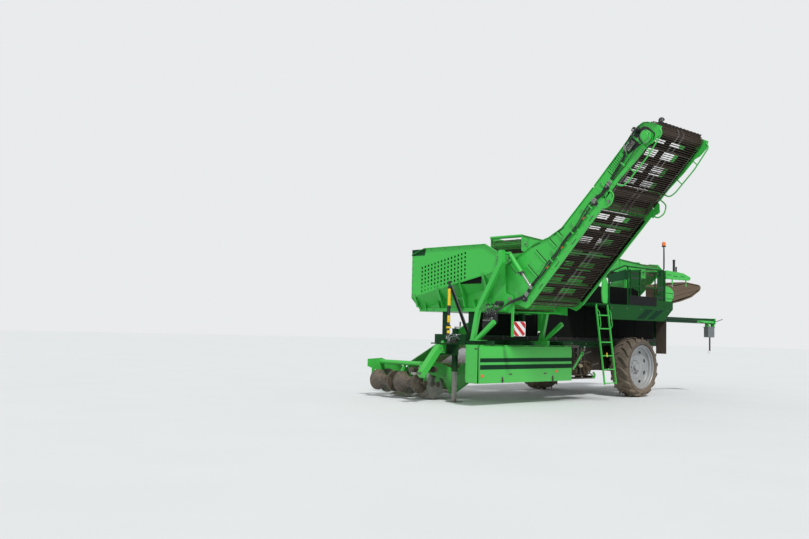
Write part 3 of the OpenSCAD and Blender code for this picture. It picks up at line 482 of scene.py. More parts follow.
@dataclass(frozen=True)
class Finish:
    """A finish as it is on a machine in use, with dry earth low down and on what faces up."""

    name: str
    base: str
    shade: str
    roughness: float
    soil: float = 0.3
    metallic: float = 0.0
    coat: float = 0.0
    grain: float = 0.004
    relief: float = 0.15
    soil_colour: str = "#8d7a60"
    gloss: float = 0.5

    def pattern(self, tree: bpy.types.NodeTree, coords: bpy.types.NodeSocket) -> bpy.types.NodeSocket:
        """Draw the relief of the surface.

        Args:
            tree: The material's node tree.
            coords: Place on the piece, in metres.

        Returns:
            The height of the surface, 0 to 1.
        """
        return add_node(tree, "TexNoise", {"Scale": 1 / self.grain, "Detail": 3.0},
            {"Vector": coords}).outputs["Fac"]

    def material(self) -> bpy.types.Material:
        """Make the material, or give the one already made.

        Returns:
            The material.
        """
        if self.name in bpy.data.materials:
            return bpy.data.materials[self.name]
        made = bpy.data.materials.new(self.name)
        made.use_nodes = True
        tree = made.node_tree
        tree.nodes.clear()
        coords = add_node(tree, "TexCoord").outputs["Object"]
        cloud = add_node(tree, "TexNoise", {"Scale": 0.9, "Detail": 4.0}, {"Vector": coords}).outputs["Fac"]
        spots = add_node(tree, "TexNoise", {"Scale": 17.0, "Detail": 7.0, "Roughness": 0.65},
            {"Vector": coords}).outputs["Fac"]
        tone = add_node(tree, "MixRGB", {"Color1": colour(self.base), "Color2": colour(self.shade)},
            {"Fac": cloud}).outputs["Color"]
        soil = self.soil_mask(tree, coords, spots)
        dusty = add_node(tree, "MixRGB", {"Color2": colour(self.soil_colour)},
            {"Color1": tone, "Fac": soil}).outputs["Color"]
        rough = add_node(tree, "MapRange", {"To Min": self.roughness, "To Max": 0.9},
            {"Value": soil}).outputs["Result"]
        bump = add_node(tree, "Bump", {"Strength": self.relief, "Distance": self.grain * 0.4},
            {"Height": self.pattern(tree, coords)}).outputs["Normal"]
        shader = add_node(tree, "BsdfPrincipled", {"Metallic": self.metallic, "Coat Weight": self.coat,
            "Coat Roughness": 0.12, "Specular IOR Level": self.gloss},
            {"Base Color": dusty, "Roughness": rough, "Normal": bump})
        add_node(tree, "OutputMaterial", links={"Surface": shader.outputs["BSDF"]})
        return made

    def soil_mask(self, tree: bpy.types.NodeTree, coords: bpy.types.NodeSocket,
            spots: bpy.types.NodeSocket) -> bpy.types.NodeSocket:
        """Work out where dry earth lies: low down, on what faces up, and in spots.

        Args:
            tree: The material's node tree.
            coords: Place on the piece, in metres.
            spots: Fine noise, 0 to 1.

        Returns:
            How much earth lies there, 0 to 1.
        """
        height = add_node(tree, "SeparateXYZ", links={0: coords}).outputs["Z"]
        low = add_node(tree, "MapRange", {"From Min": above(1.6), "From Max": above(0.0), "To Max": 0.8},
            {"Value": height}).outputs["Result"]
        normal = add_node(tree, "NewGeometry").outputs["Normal"]
        facing = add_node(tree, "SeparateXYZ", links={0: normal}).outputs["Z"]
        top = add_node(tree, "MapRange", {"From Min": 0.3, "From Max": 1.0, "To Max": 0.45},
            {"Value": facing}).outputs["Result"]
        both = add_node(tree, "Math", {"operation": "ADD"}, {0: low, 1: top}).outputs[0]
        amount = add_node(tree, "Math", {"operation": "MULTIPLY", 1: 2.2 * self.soil}, {0: both}).outputs[0]
        speck = add_node(tree, "MapRange", {"From Min": 0.38, "From Max": 0.68}, {"Value": spots}).outputs["Result"]
        even = add_node(tree, "Math", {"operation": "MULTIPLY_ADD", 1: 0.7, 2: 0.3}, {0: speck}).outputs[0]
        return add_node(tree, "Math", {"operation": "MULTIPLY", "use_clamp": True}, {0: amount, 1: even}).outputs[0]


@dataclass(frozen=True)
class BareSteel(Finish):
    """Rolled or ground steel, with fine marks along X drawn coarse enough to show."""

    def pattern(self, tree: bpy.types.NodeTree, coords: bpy.types.NodeSocket) -> bpy.types.NodeSocket:
        """Draw long fine marks, and take and return what Finish.pattern does."""
        drawn = add_node(tree, "Mapping", {"Scale": (12.0, 1 / self.grain, 1 / self.grain)},
            {"Vector": coords}).outputs["Vector"]
        return add_node(tree, "TexNoise", {"Scale": 1.0, "Detail": 5.0}, {"Vector": drawn}).outputs["Fac"]


# Two-pack machinery enamel, sprayed: an orange peel drawn at 6 mm so that it shows, and a thin gloss
ENAMEL = {"grain": 0.006, "relief": 0.05, "coat": 0.2}
# The dark greens carry painted shade, darkened for parts in the machine's own shade, and shine less
SHADE_ENAMEL = {"grain": 0.006, "relief": 0.05, "coat": 0.0, "gloss": 0.15}
FINISHES = {
    GREEN: Finish("bright_green_enamel", "#3dbf4a", "#35b042", 0.36, 0.12, **ENAMEL),
    # Dark green paint, darkened further as painted shade
    DARK_GREEN: Finish("dark_green_enamel_painted_shade", "#0c4422", "#09371b", 0.5, 0.08, **SHADE_ENAMEL),
    BLACK: Finish("satin_black_enamel", "#24272a", "#1b1d1f", 0.48, 0.3, **ENAMEL),
    STEEL: BareSteel("ground_steel", "#b4b6b6", "#94928d", 0.34, 0.25, 1.0, grain=0.003, relief=0.2),
    WEB: BareSteel("earth_worn_spring_steel", "#5a4a3e", "#3a302a", 0.55, 0.5, 0.5, grain=0.004, relief=0.4),
    HOSE: Finish("wrapped_hose_rubber", "#1d1e20", "#26272a", 0.5, 0.15, grain=0.004, relief=0.25),
    RIM: Finish("silver_wheel_enamel", "#a9adb0", "#969a9d", 0.36, 0.2, 0.25, **ENAMEL),
    TYRE: Finish("dusty_tyre_rubber", "#4d463f", "#5a5249", 0.85, 0.42, grain=0.012, relief=0.5,
        soil_colour="#8b7a66"),
    LENS: Finish("moulded_clear_lens", "#dfe3e4", "#cfd4d6", 0.12, 0.0, coat=0.6, grain=0.012, relief=0.3),
    AMBER: Finish("moulded_amber_lens", "#f07a12", "#e0640c", 0.18, 0.0, coat=0.6, grain=0.01, relief=0.3),
    BOARD: Finish("retroreflective_white", "#eceeee", "#e2e4e4", 0.3, 0.05, grain=0.006, relief=0.12),
}
# Printed film laid on the enamel: an even dark green with a little gloss
STRIPE = Finish("dark_green_film", "#083420", "#062c1a", 0.6, 0.02, grain=0.006, relief=0.05, gloss=0.12)
REFLECTOR = Finish("moulded_orange_reflector", "#e8641a", "#d95510", 0.25, 0.05, coat=0.5, grain=0.006, relief=0.3)
BELT = Finish("woven_rubber_belt", "#2e2925", "#3c342d", 0.8, 0.5, grain=0.006, relief=0.6)
RED_SHEET = Finish("retroreflective_red", "#cf1a20", "#c0161c", 0.3, 0.04, grain=0.006, relief=0.12)
YELLOW_SLEEVE = Finish("moulded_yellow_sleeve", "#e8c320", "#d9b218", 0.5, 0.1, grain=0.008, relief=0.2)
GREY_BOX = Finish("hot_dipped_zinc", "#868c8e", "#737a7c", 0.42, 0.15, 0.6, grain=0.03, relief=0.12)
# Black rubber for mats and guards; the same finish also hangs under the platform as painted shade
RUBBER_AND_SHADE = Finish("rubber_mat_and_painted_shade", "#131415", "#1b1c1d", 0.8, 0.15, grain=0.008, relief=0.5, gloss=0.2)
MUDDY_BELT = Finish("muddy_ribbed_belt", "#6a5a49", "#544637", 0.85, 0.6, grain=0.01, relief=0.7)
# The bright green darkened as painted shade, for the left platform's panel that lies in the elevator's shadow
SHADED_GREEN = Finish("bright_green_in_painted_shade", "#0a4d1b", "#084416", 0.5, 0.03, **SHADE_ENAMEL)
# Near-black sheets that stand in for the shade inside the machine: painted shade
SHADOW_BLACK = Finish("painted_shade_black_sheet", "#0a0d0c", "#101411", 0.85, 0.04, grain=0.01, relief=0.2, gloss=0.1)
DUSTY_FLAP = Finish("dusty_rubber_flap", "#4d443d", "#3d3630", 0.85, 0.3, grain=0.01, relief=0.4, gloss=0.2)
BEIGE = Finish("moulded_beige_knob", "#b9a98b", "#a8997c", 0.5, 0.1, grain=0.008, relief=0.2)


def dress(parts: Piece | Sequence[Piece], finish: Finish | Slot, smooth: float = 35.0) -> Piece:
    """Join parts, give them one finish and shade their gentle edges smooth.

    Args:
        parts: The parts, or one piece.
        finish: Its finish, or the slot whose finish it takes.
        smooth: Edges that turn less than this, in degrees, are smooth.

    Returns:
        The dressed piece.
    """
    piece = joined(parts) if isinstance(parts, Sequence) else parts
    chosen = FINISHES[finish] if isinstance(finish, Slot) else finish
    piece.data.materials.clear()
    piece.data.materials.append(chosen.material())
    pick(piece)
    bpy.ops.object.shade_smooth_by_angle(angle=radians(smooth))
    return piece


def keep(name: str, piece: Piece, slot: Slot, body: str, *replaced: str) -> Piece:
    """Name a finished piece and let it ride on its body.

    Args:
        name: The piece's name.
        piece: The finished piece.
        slot: Not used.
        body: The body that carries it.
        replaced: Solid nodes that it stands for.

    Returns:
        The same piece.
    """
    piece.name = name
    piece.data.name = name
    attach(piece, body)
    if replaced:
        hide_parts(*replaced)
    LOG.info("%s: %d faces on %s", name, len(piece.data.polygons), body)
    return piece


def bolt_heads(spots: Iterable[tuple[Spot, Spot]], size: float = 0.012) -> Piece:
    """Make hexagon bolt heads with washers.

    Args:
        spots: Foot of each head and the way that it points.
        size: Radius of a head.

    Returns:
        All the heads as one zinc piece.
    """
    head = bar((0, 0, 0), (0, 0, size * 0.9), size, 6, size * 0.12)
    washer = bar((0, 0, 0), (0, 0, size * 0.22), size * 1.35, 12)
    one = joined([head, washer])
    return dress(copies(one, [aimed(at, way) for at, way in spots]), GREY_BOX)


# Webs


@dataclass
class RodWeb:
    """An endless web of steel rods on rubber belts, round two rollers.

    Its own frame has X across the web, Y along it from the first roller, and Z square to it.
    """

    name: str
    body: str
    node: str
    place: Matrix
    length: float
    width: float
    belts: Sequence[float]
    flight: float = 0.0
    flight_pitch: float = 0.45
    pitch: float = 0.046
    rod: float = 0.0062
    inner: float = 0.0903
    belt_thick: float = 0.011
    belt_wide: float = 0.06

    def on_loop(self, run: float, radius: float) -> Matrix:
        """Give the place at a distance along the loop.

        Args:
            run: Distance along the loop, from the start of its upper run.
            radius: Distance from the loop's middle line.

        Returns:
            The frame there, with Z outwards.
        """
        arc = pi * radius
        run %= 2 * (self.length + arc)
        if run < self.length:
            return moved(0, run, radius)
        if run < self.length + arc:
            turn = -degrees((run - self.length) / radius)
            return moved(0, self.length, 0) @ turned("X", turn) @ moved(0, 0, radius)
        if run < 2 * self.length + arc:
            return moved(0, 2 * self.length + arc - run, -radius) @ turned("X", 180)
        turn = 180 - degrees((run - 2 * self.length - arc) / radius)
        return turned("X", turn) @ moved(0, 0, radius)

    def belt(self, middle: float) -> Piece:
        """Make one belt.

        Args:
            middle: Where its middle lies across the web.

        Returns:
            The belt.
        """
        radius = self.inner + self.belt_thick / 2
        turns = 12
        stops = [self.length * k / 2 for k in range(2)]
        stops += [self.length + pi * radius * k / turns for k in range(turns)]
        stops += [self.length + pi * radius + self.length * k / 2 for k in range(2)]
        stops += [2 * self.length + pi * radius + pi * radius * k / turns for k in range(turns)]
        lift = moved(0, 0, self.inner + self.belt_thick - radius)
        rim = [(self.on_loop(run, radius) @ lift).translation for run in stops]
        outer = plate([(p.y, p.z) for p in rim], self.belt_wide, across(middle - self.belt_wide / 2))
        pick(outer)
        bpy.ops.object.mode_set(mode="EDIT")
        bpy.ops.mesh.select_all(action="DESELECT")
        bpy.ops.object.mode_set(mode="OBJECT")
        for face in outer.data.polygons:
            face.select = abs(face.normal.x) > 0.9
        bpy.ops.object.mode_set(mode="EDIT")
        bpy.ops.mesh.inset(thickness=self.belt_thick)
        bpy.ops.mesh.bridge_edge_loops()
        bpy.ops.object.mode_set(mode="OBJECT")
        return outer

    def build(self) -> None:
        """Make the rods, belts and flights as one piece in place of the solid node."""
        rod_radius = self.inner + self.belt_thick + self.rod * 0.8
        around = 2 * (self.length + pi * rod_radius)
        count = round(around / self.pitch)
        rod = bar((0.004, 0, 0), (self.width - 0.004, 0, 0), self.rod, 8)
        parts = [dress(copies(rod, (self.on_loop(around * i / count, rod_radius) for i in range(count))), WEB)]
        parts.append(dress([self.belt(middle) for middle in self.belts], BELT, 50))
        clips = [moved(middle, 0, 0) for middle in self.belts]
        clip = block((-self.belt_wide * 0.36, -0.012, -0.002), (self.belt_wide * 0.36, 0.012, 0.004), 0.0015)
        spots = [self.on_loop(around * i / count, rod_radius) @ c for i in range(count) for c in clips]
        parts.append(dress(copies(clip, spots), STEEL))
        if self.flight:
            lo, hi = self.belts[0], self.belts[-1]
            fin = [(lo, 0), (hi, 0)] + [(hi - (hi - lo) * k / 24, self.flight * (0.78 if k % 2 else 0.96))
                for k in range(25)]
            one = plate(fin, 0.008, Matrix(((1, 0, 0, 0), (0, 0, 1, -0.004), (0, 1, 0, 0), (0, 0, 0, 1))), 0.002)
            reach = self.inner + self.belt_thick
            around_belt = 2 * (self.length + pi * reach)
            many = max(2, round(around_belt / self.flight_pitch))
            parts.append(dress(copies(one, (self.on_loop(around_belt * i / many + 0.07, reach)
                for i in range(many))), BELT))
        web = joined(parts)
        web.data.transform(self.place)
        keep(self.name, web, WEB, self.body, self.node)


# Wheels


@dataclass
class Wheel:
    """A wide low-pressure tyre on a deep dished rim."""

    side: str
    lugs: int = 17
    lug_high: float = 0.038
    lug_block: Spot = (0.06, 0.052, 0.3)
    bead_in: float = 0.045
    seat: float = 0.5

    def build(self) -> None:
        """Make the rim and the tyre in place of their solid nodes."""
        lo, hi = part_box(f"tyre_{self.side}")
        middle, body = (lo + hi) / 2, f"wheel_{self.side}"
        out = 1 if self.side == "left" else -1
        place = Matrix.Translation(middle) @ turned("X", -90 * out)
        keep(f"tyre_{self.side}_tread", self.tyre((hi.z - lo.z) / 2, (hi.y - lo.y) / 2, place), TYRE, body,
            f"tyre_{self.side}")
        keep(f"rim_{self.side}_dish", self.rim((hi.y - lo.y) / 2, place), RIM, body, f"rim_{self.side}")

    def tyre(self, radius: float, half: float, place: Matrix) -> Piece:
        """Make the tyre with its lugs.

        Args:
            radius: Outer radius over the lugs.
            half: Half of the width.
            place: Where the wheel's middle lies, with Z outwards.

        Returns:
            The tyre.
        """
        crown, bead, seat = radius - self.lug_high, half - self.bead_in, self.seat
        wall = [(seat + 0.002, bead), (seat + 0.02, bead + 0.006), (seat + 0.036, half - 0.012),
            (seat + 0.05, half - 0.004), (seat + 0.066, half - 0.008), (seat + 0.074, half - 0.001),
            (seat + 0.105, half), (crown - 0.075, half - 0.006), (crown - 0.05, half - 0.014),
            (crown - 0.03, half - 0.024), (crown - 0.014, half - 0.042), (crown - 0.004, half - 0.075),
            (crown, half - 0.13), (crown + 0.002, 0)]
        profile = wall + [(r, -h) for r, h in reversed(wall[:-1])]
        carcass = spun(profile, Matrix(), 72)
        lug = primitive(bpy.ops.mesh.primitive_cube_add, size=1, location=(0, 0, 0), scale=self.lug_block)
        edit(lug)
        bpy.ops.mesh.subdivide(number_cuts=5)
        bpy.ops.object.mode_set(mode="OBJECT")
        for vertex in lug.data.vertices:
            self.lay_on_crown(vertex, radius, half)
        eased(lug, 0.006, 2)
        step = 360 / self.lugs
        around = [turned("Z", i * step) for i in range(self.lugs)]
        flip = Matrix.Scale(-1, 4, Z_WAY) @ turned("Z", step / 2)
        lugs = copies(lug, around + [flip @ turn for turn in around])
        tyre = joined([carcass, *lugs])
        tyre.data.transform(place)
        return dress(tyre, TYRE, 40)

    def lay_on_crown(self, vertex: bpy.types.MeshVertex, radius: float, half: float) -> None:
        """Bend a point of a straight lug onto the tyre.

        Args:
            vertex: A point of the lug, a box along Z with its top towards +X.
            radius: Outer radius over the lugs.
            half: Half of the tyre's width.
        """
        crown = radius - self.lug_high
        deep, _, long = self.lug_block
        run = vertex.co.z / long + 0.5
        out = 0.006 + run * (half - 0.006 - 0.008)
        wide = vertex.co.y * (0.85 + 0.3 * run)
        slant = 0.16 * run * run + 0.05 * run
        fall = max(0.0, (out - (half - 0.075)) / 0.067)
        top = radius - 0.03 * fall * fall
        foot = crown - 0.02 - 0.035 * fall
        reach = top if vertex.co.x > 0 else foot
        if abs(vertex.co.x) < deep / 2 - 0.001:
            reach = foot + (top - foot) * (vertex.co.x / deep + 0.5)
        angle = (wide + slant) / radius
        vertex.co = (reach * cos(angle), reach * sin(angle), out)

    def rim(self, half: float, place: Matrix) -> Piece:
        """Make the rim: stepped well, dished disc with oval windows, hub and nuts.

        Args:
            half: Half of the tyre's width.
            place: Where the wheel's middle lies, with Z outwards.

        Returns:
            The rim.
        """
        bead, seat, sheet = half - self.bead_in, self.seat, 0.007
        line = [(seat + 0.013, bead + 0.016), (seat + 0.006, bead + 0.019), (seat - 0.003, bead + 0.006),
            (seat - 0.004, bead - 0.035), (seat - 0.03, bead - 0.055), (seat - 0.036, bead - 0.11),
            (seat - 0.052, bead - 0.125), (seat - 0.056, -bead + 0.1), (seat - 0.03, -bead + 0.07),
            (seat - 0.004, -bead + 0.045), (seat - 0.003, -bead - 0.006), (seat + 0.006, -bead - 0.019)]
        well = spun(line + [(r - sheet, h) for r, h in reversed(line)], Matrix(), 72)
        face = [(0.448, 0.075), (0.436, 0.079), (0.4, 0.07), (0.32, 0.052), (0.29, 0.05), (0.255, 0.062),
            (0.2, 0.04), (0.175, 0.032), (0.12, 0.032)]
        dish = spun(face + [(r, h - 0.009) for r, h in reversed(face)], Matrix(), 96)
        cutter = joined(copies(spun(rect(0.002, -0.1, 0.03, 0.1), Matrix.Scale(1.75, 4, Y_WAY), 20),
            [turned("Z", 22.5 + k * 45) @ moved(0.372, 0, 0.06) for k in range(8)]))
        shaped(dish, "BOOLEAN", operation="DIFFERENCE", object=cutter, solver="EXACT")
        bpy.data.objects.remove(cutter)
        hub = spun([(0.002, -0.03), (0.135, -0.03), (0.135, 0.036), (0.09, 0.042), (0.086, 0.1), (0.06, 0.108),
            (0.002, 0.108)], Matrix(), 40)
        metal = dress([well, dish, hub], RIM, 30)
        nuts = bolt_heads([((0.155 * cos(a), 0.155 * sin(a), 0.032), Z_WAY) for a in (tau * k / 10
            for k in range(10))], 0.016)
        valve = dress(bar((0.42, 0.0, 0.08), (0.4, 0.0, 0.125), 0.006, 8), HOSE)
        rim = joined([metal, nuts, valve])
        rim.data.transform(place)
        return rim


# Light, floor and camera


@dataclass(frozen=True)
class Studio:
    """A plain pale floor under soft light, seen from where the photograph was taken."""

    image: tuple[int, int] = (809, 539)
    focal_px: float = 884.0
    sensor: float = 36.0
    station: Spot = (12.09, 12.65, 0.86)
    heading: Pair = (-0.682, -0.731)
    rise_deg: float = 2.62
    nose_up: float = 0.032

    def camera(self) -> None:
        """Make the camera, level in the photograph, in which the machine's nose is a little high."""
        data = bpy.data.cameras.new("camera")
        data.lens = self.focal_px / self.image[0] * self.sensor
        data.sensor_width = self.sensor
        data.clip_end = 500
        sky = Vector((self.nose_up, 0, 1)).normalized()
        level = Vector((*self.heading, 0))
        level = (level - sky * level.dot(sky)).normalized()
        rise = radians(self.rise_deg)
        look = level * cos(rise) + sky * sin(rise)
        top = sky * cos(rise) - level * sin(rise)
        right = look.cross(top)
        turn = Matrix((right, top, -look)).transposed()
        camera = bpy.data.objects.new("camera", data)
        camera.matrix_world = Matrix.Translation(self.station) @ turn.to_4x4()
        bpy.context.scene.collection.objects.link(camera)
        bpy.context.scene.camera = camera

    def light(self) -> None:
        """Light the machine softly from its left and above, at a level that keeps colours as written."""
        bpy.context.scene.view_settings.view_transform = "Standard"
        world = bpy.data.worlds.new("studio")
        bpy.context.scene.world = world
        world.use_nodes = True
        tree = world.node_tree
        tree.nodes.clear()
        path = add_node(tree, "LightPath").outputs
        seen = add_node(tree, "Math", {"operation": "MAXIMUM"},
            {0: path["Is Camera Ray"], 1: path["Is Transmission Ray"]}).outputs[0]
        plain = add_node(tree, "Background", {"Color": colour("#f2f4f5"), "Strength": 0.5})
        pale = add_node(tree, "Background", {"Color": colour("#e9ebec"), "Strength": 1.0})
        mix = add_node(tree, "MixShader", links={0: seen, 1: plain.outputs[0], 2: pale.outputs[0]})
        add_node(tree, "OutputWorld", links={"Surface": mix.outputs[0]})
        for name, way, strength, spread in (("key", (0.35, 0.75, 0.95), 2.5, 8),
            ("fill", (0.9, 0.1, 0.35), 0.6, 60)):
            data = bpy.data.lights.new(name, "SUN")
            data.energy = strength
            data.angle = radians(spread)
            lamp = bpy.data.objects.new(name, data)
            lamp.rotation_euler = Vector(way).to_track_quat("Z", "Y").to_euler()
            bpy.context.scene.collection.objects.link(lamp)

    def floor(self) -> None:
        """Lay the floor under the wheels, with a faint mottle like cast screed."""
        floor = primitive(bpy.ops.mesh.primitive_circle_add, vertices=64, radius=120, fill_type="NGON",
            location=(0, 0, above(0.0)))
        floor.name = "floor"
        made = bpy.data.materials.new("pale_screed")
        made.use_nodes = True
        tree = made.node_tree
        tree.nodes.clear()
        coords = add_node(tree, "TexCoord").outputs["Object"]
        cloud = add_node(tree, "TexNoise", {"Scale": 0.6, "Detail": 3.0}, {"Vector": coords}).outputs["Fac"]
        tone = add_node(tree, "MixRGB", {"Color1": colour("#d9dbdc"), "Color2": colour("#dfe1e2")},
            {"Fac": cloud}).outputs["Color"]
        shader = add_node(tree, "BsdfPrincipled", {"Roughness": 0.9}, {"Base Color": tone})
        add_node(tree, "OutputMaterial", links={"Surface": shader.outputs["BSDF"]})
        floor.data.materials.append(made)


# Repeated fittings. From here on, heights are above the ground until stand() lowers a finished piece


GROUND = moved(0, 0, -EYE_HEIGHT)
ELEVATOR_FOOT: Spot = (0, 1.45, 2.1)
ELEVATOR_RISE = 47
# Where a web's lower roller lies, and how far it goes and climbs from there, or its slope and length
FIRST_FOOT, FIRST_SLOPE, FIRST_LENGTH = (-1.65, 0, 0.3), 26, 3.33
REAR_FOOT, REAR_RUN = (-4.87, 0, 1.6), (2.98, 0.18)
CROSS_FOOT, CROSS_RUN = (-1.72, 1.64), (1.66, 1.56)
TABLE_RUN = (4.75, 0.34)


def stand(name: str, parts: Sequence[Piece], slot: Slot, body: str, *replaced: str,
        place: Matrix | None = None) -> Piece:
    """Join parts that are written with heights above the ground, and keep them.

    Args:
        name: The piece's name.
        parts: Its dressed parts.
        slot: The record's slot of its main finish.
        body: The body that carries it.
        replaced: Solid nodes that it stands for.
        place: Where the parts' own frame lies, if they have one.

    Returns:
        The kept piece.
    """
    piece = joined(parts)
    piece.data.transform(GROUND @ (place or Matrix()))
    return keep(name, piece, slot, body, *replaced)


def ribbon(path: Sequence[Pair], thick: float) -> list[Pair]:
    """Give the outline of a folded strip that follows a path.

    Args:
        path: Corners of the path.
        thick: Thickness of the strip, to the left of the path.

    Returns:
        The closed outline.
    """
    points = [Vector(p) for p in path]
    other = []
    for i, here in enumerate(points):
        way = (points[min(i + 1, len(points) - 1)] - points[max(i - 1, 0)]).normalized()
        other.append(here + Vector((-way.y, way.x)) * thick)
    return [(p.x, p.y) for p in points + other[::-1]]


def rect(x1: float, y1: float, x2: float, y2: float) -> list[Pair]:
    """Give the outline of a rectangle between two corners."""
    return [(x1, y1), (x2, y1), (x2, y2), (x1, y2)]


def rounded(outline: Sequence[Pair], radius: float) -> list[Vector]:
    """Give a closed outline with its corners rounded."""
    return bent(outline, radius, True)


def oval(long: float, wide: float) -> list[Pair]:
    """Give the outline of a slot with round ends, about the origin.

    Args:
        long: Its length, along the first axis.
        wide: Its width.

    Returns:
        The closed outline.
    """
    half = (long - wide) / 2
    turns = [pi * k / 8 - pi / 2 for k in range(9)]
    right = [(half + wide / 2 * cos(a), wide / 2 * sin(a)) for a in turns]
    return right + [(-x, -y) for x, y in right]


def bearing(at: Spot, way: Spot, radius: float = 0.06) -> Piece:
    """Make a flanged bearing housing with its bolts, shaft end and grease nipple.

    Args:
        at: Middle of its foot.
        way: The way that its shaft points.
        radius: Radius of its flange.

    Returns:
        The housing.
    """
    profile = [(0.001, 0), (radius, 0), (radius, 0.011), (radius * 0.66, 0.017), (radius * 0.6, 0.034),
        (radius * 0.42, 0.04), (0.001, 0.04)]
    shell = dress(spun(profile, Matrix(), 24), BLACK)
    heads = bolt_heads([((radius * 0.83 * cos(a), radius * 0.83 * sin(a), 0.011), Z_WAY)
        for a in (pi / 4 + pi / 2 * k for k in range(4))], 0.008)
    shaft = bar((0, 0, 0.03), (0, 0, 0.052), radius * 0.27, 12, 0.002)
    nipple = bar((radius * 0.5, 0, 0.03), (radius * 0.72, 0, 0.042), 0.004, 6)
    whole = joined([shell, heads, dress([shaft, nipple], STEEL)])
    whole.data.transform(aimed(at, way))
    return whole


def hose(path: Sequence[Sequence[float]], radius: float = 0.01, corner: float = 0.08) -> Piece:
    """Make a pressure hose with its crimped ends and nuts.

    Args:
        path: Corners of its middle line.
        radius: Radius of the hose.
        corner: How far from each corner its bend starts.

    Returns:
        The hose.
    """
    line = dress(tube(path, radius, corner), HOSE)
    ends = []
    for first, second in ((path[0], path[1]), (path[-1], path[-2])):
        foot = Vector(first)
        way = (Vector(second) - foot).normalized()
        ends.append(bar(foot, foot + way * 0.05, radius * 1.3, 12, 0.001))
        ends.append(bar(foot - way * 0.012, foot + way * 0.012, radius * 1.6, 6, 0.001))
    return joined([line, dress(ends, STEEL)])


def strap(lo: Sequence[float], hi: Sequence[float]) -> Piece:
    """Make a hose clamp: two black halves under a zinc strip with its screw.

    Args:
        lo: Lowest corner of the halves.
        hi: Highest corner of the halves.

    Returns:
        The clamp.
    """
    low, high = Vector(lo), Vector(hi)
    halves = dress(block(low, high, 0.004), BLACK)
    top = dress(block((low.x - 0.002, low.y, high.z), (high.x + 0.002, high.y, high.z + 0.004), 0.001), GREY_BOX)
    screw = bolt_heads([(((low.x + high.x) / 2, (low.y + high.y) / 2, high.z + 0.004), Z_WAY)], 0.007)
    return joined([halves, top, screw])


def pin_head(at: Spot, way: Spot, radius: float) -> Piece:
    """Make the end of a pin: keeper plate, chamfered head and split pin.

    Args:
        at: Middle of the plate's foot.
        way: The way that the pin points.
        radius: Radius of the head.

    Returns:
        The pin's end.
    """
    head = bar((0, 0, 0), (0, 0, radius * 0.7), radius, 24, radius * 0.12)
    washer = bar((0, 0, 0), (0, 0, 0.005), radius * 1.5, 24, 0.001)
    pin = bar((-radius * 1.25, 0, radius * 0.4), (radius * 1.25, 0, radius * 0.4), radius * 0.1, 8)
    whole = dress([head, washer, pin], STEEL)
    whole.data.transform(aimed(at, way))
    return whole


# Bunker and unloading elevator


@dataclass(frozen=True)
class Bunker:
    """The hopper's folded edges, gussets, bolts and floor drive."""

    front: float = -0.9
    rear: float = -2.9
    right: float = -1.08
    left: float = 1.34
    edge: tuple[Pair, ...] = ((-1.08, 3.05), (-0.7, 3.18), (1.01, 3.18), (1.34, 3.01))
    slant: float = 11.8

    def line(self, y: float) -> float:
        """Give the height where the front plate meets the slant, at a place across the hopper."""
        return 2.15 + (y - self.right) * tan(radians(self.slant))

    def build(self) -> None:
        """Make the edges, the gussets and the drive."""
        path = list(reversed(self.edge))
        lips = [plate(ribbon(path, 0.006), 0.034, across(self.front - 0.002), 0.001), plate(ribbon(path, 0.006),
            0.034, across(self.rear - 0.03), 0.001), block((self.rear, self.right - 0.03, 3.044),
            (self.front, self.right, 3.05), 0.001)]
        bend = [(self.right, self.line(self.right) - 0.004), (self.left, self.line(self.left) - 0.004)]
        lips.append(plate(ribbon(bend, 0.012), 0.006, across(self.front - 0.002), 0.001))
        lips.append(block((self.front - 0.13, self.left - 0.004, self.line(self.left)),
            (self.front, self.left + 0.004, 3.008)))
        lips.append(block((self.rear, self.left - 0.004, self.line(self.left)),
            (self.rear + 0.13, self.left + 0.004, 3.008)))
        for y in (-0.98, -0.3, 0.32, 0.95):
            top = self.line(y) + 0.03
            fin = [(self.front + 0.004, top), (self.front + 0.03, top), (self.front - 0.09, top - 0.27),
                (-1.04, 1.96), (-1.14, 1.87), (-1.14, top - 0.3)]
            lips.append(plate(fin, 0.01, along(y + 0.005), 0.002))
            lips.append(plate(ribbon([fin[2], fin[1]], 0.006), 0.05, along(y + 0.025), 0.001))
        metal = dress(lips, GREEN)
        # A black sheet just inside the front plate, behind its holes: painted shade, so the holes look as dark as
        # the hopper's shaded inside
        shade_backing = dress(block((self.front - 0.02, -0.95, 2.4), (self.front - 0.017, 0.9, 3.1), 0.001), SHADOW_BLACK)
        strip = dress(plate([(-1.08, 3.03), (-1.08, 3.16), (-0.66, 3.16), (-0.7, 3.03)], 0.004,
            across(self.front + 0.001)), DARK_GREEN)
        spots = [((self.front, self.left - 0.035, 2.68 + 0.08 * k), X_WAY) for k in range(4)]
        spots += [((self.front, self.right + 0.03, 2.2 + 0.14 * k), X_WAY) for k in range(6)]
        spots += [((self.front, y, 3.135), X_WAY) for y in (-0.5, -0.1, 0.3, 0.7)]
        spots += [((-1.09, y, 1.885), X_WAY) for y in (-0.6, -0.2, 0.2, 0.6, 1.0, 1.25)]
        heads = bolt_heads(spots, 0.011)
        drive = [bearing((-1.15, y, 2.01), X_WAY, 0.055) for y in (1.25, -0.89)]
        motor = dress([bar((-1.11, 1.25, 2.01), (-0.99, 1.25, 2.01), 0.05, 24, 0.006),
            block((-1.02, 1.21, 1.975), (-0.985, 1.29, 2.045), 0.006)], BLACK)
        pipes = [hose([(-1.0, 1.23 + 0.04 * k, 1.98), (-1.0, 1.23 + 0.04 * k, 1.9), (-0.97, 1.18 + 0.03 * k, 1.82),
            (-0.93, 1.12 + 0.03 * k, 1.8)], 0.009, 0.03) for k in range(2)]
        stand("bunker_edges", [metal, shade_backing, strip, heads, *drive, motor, *pipes], GREEN, "root")


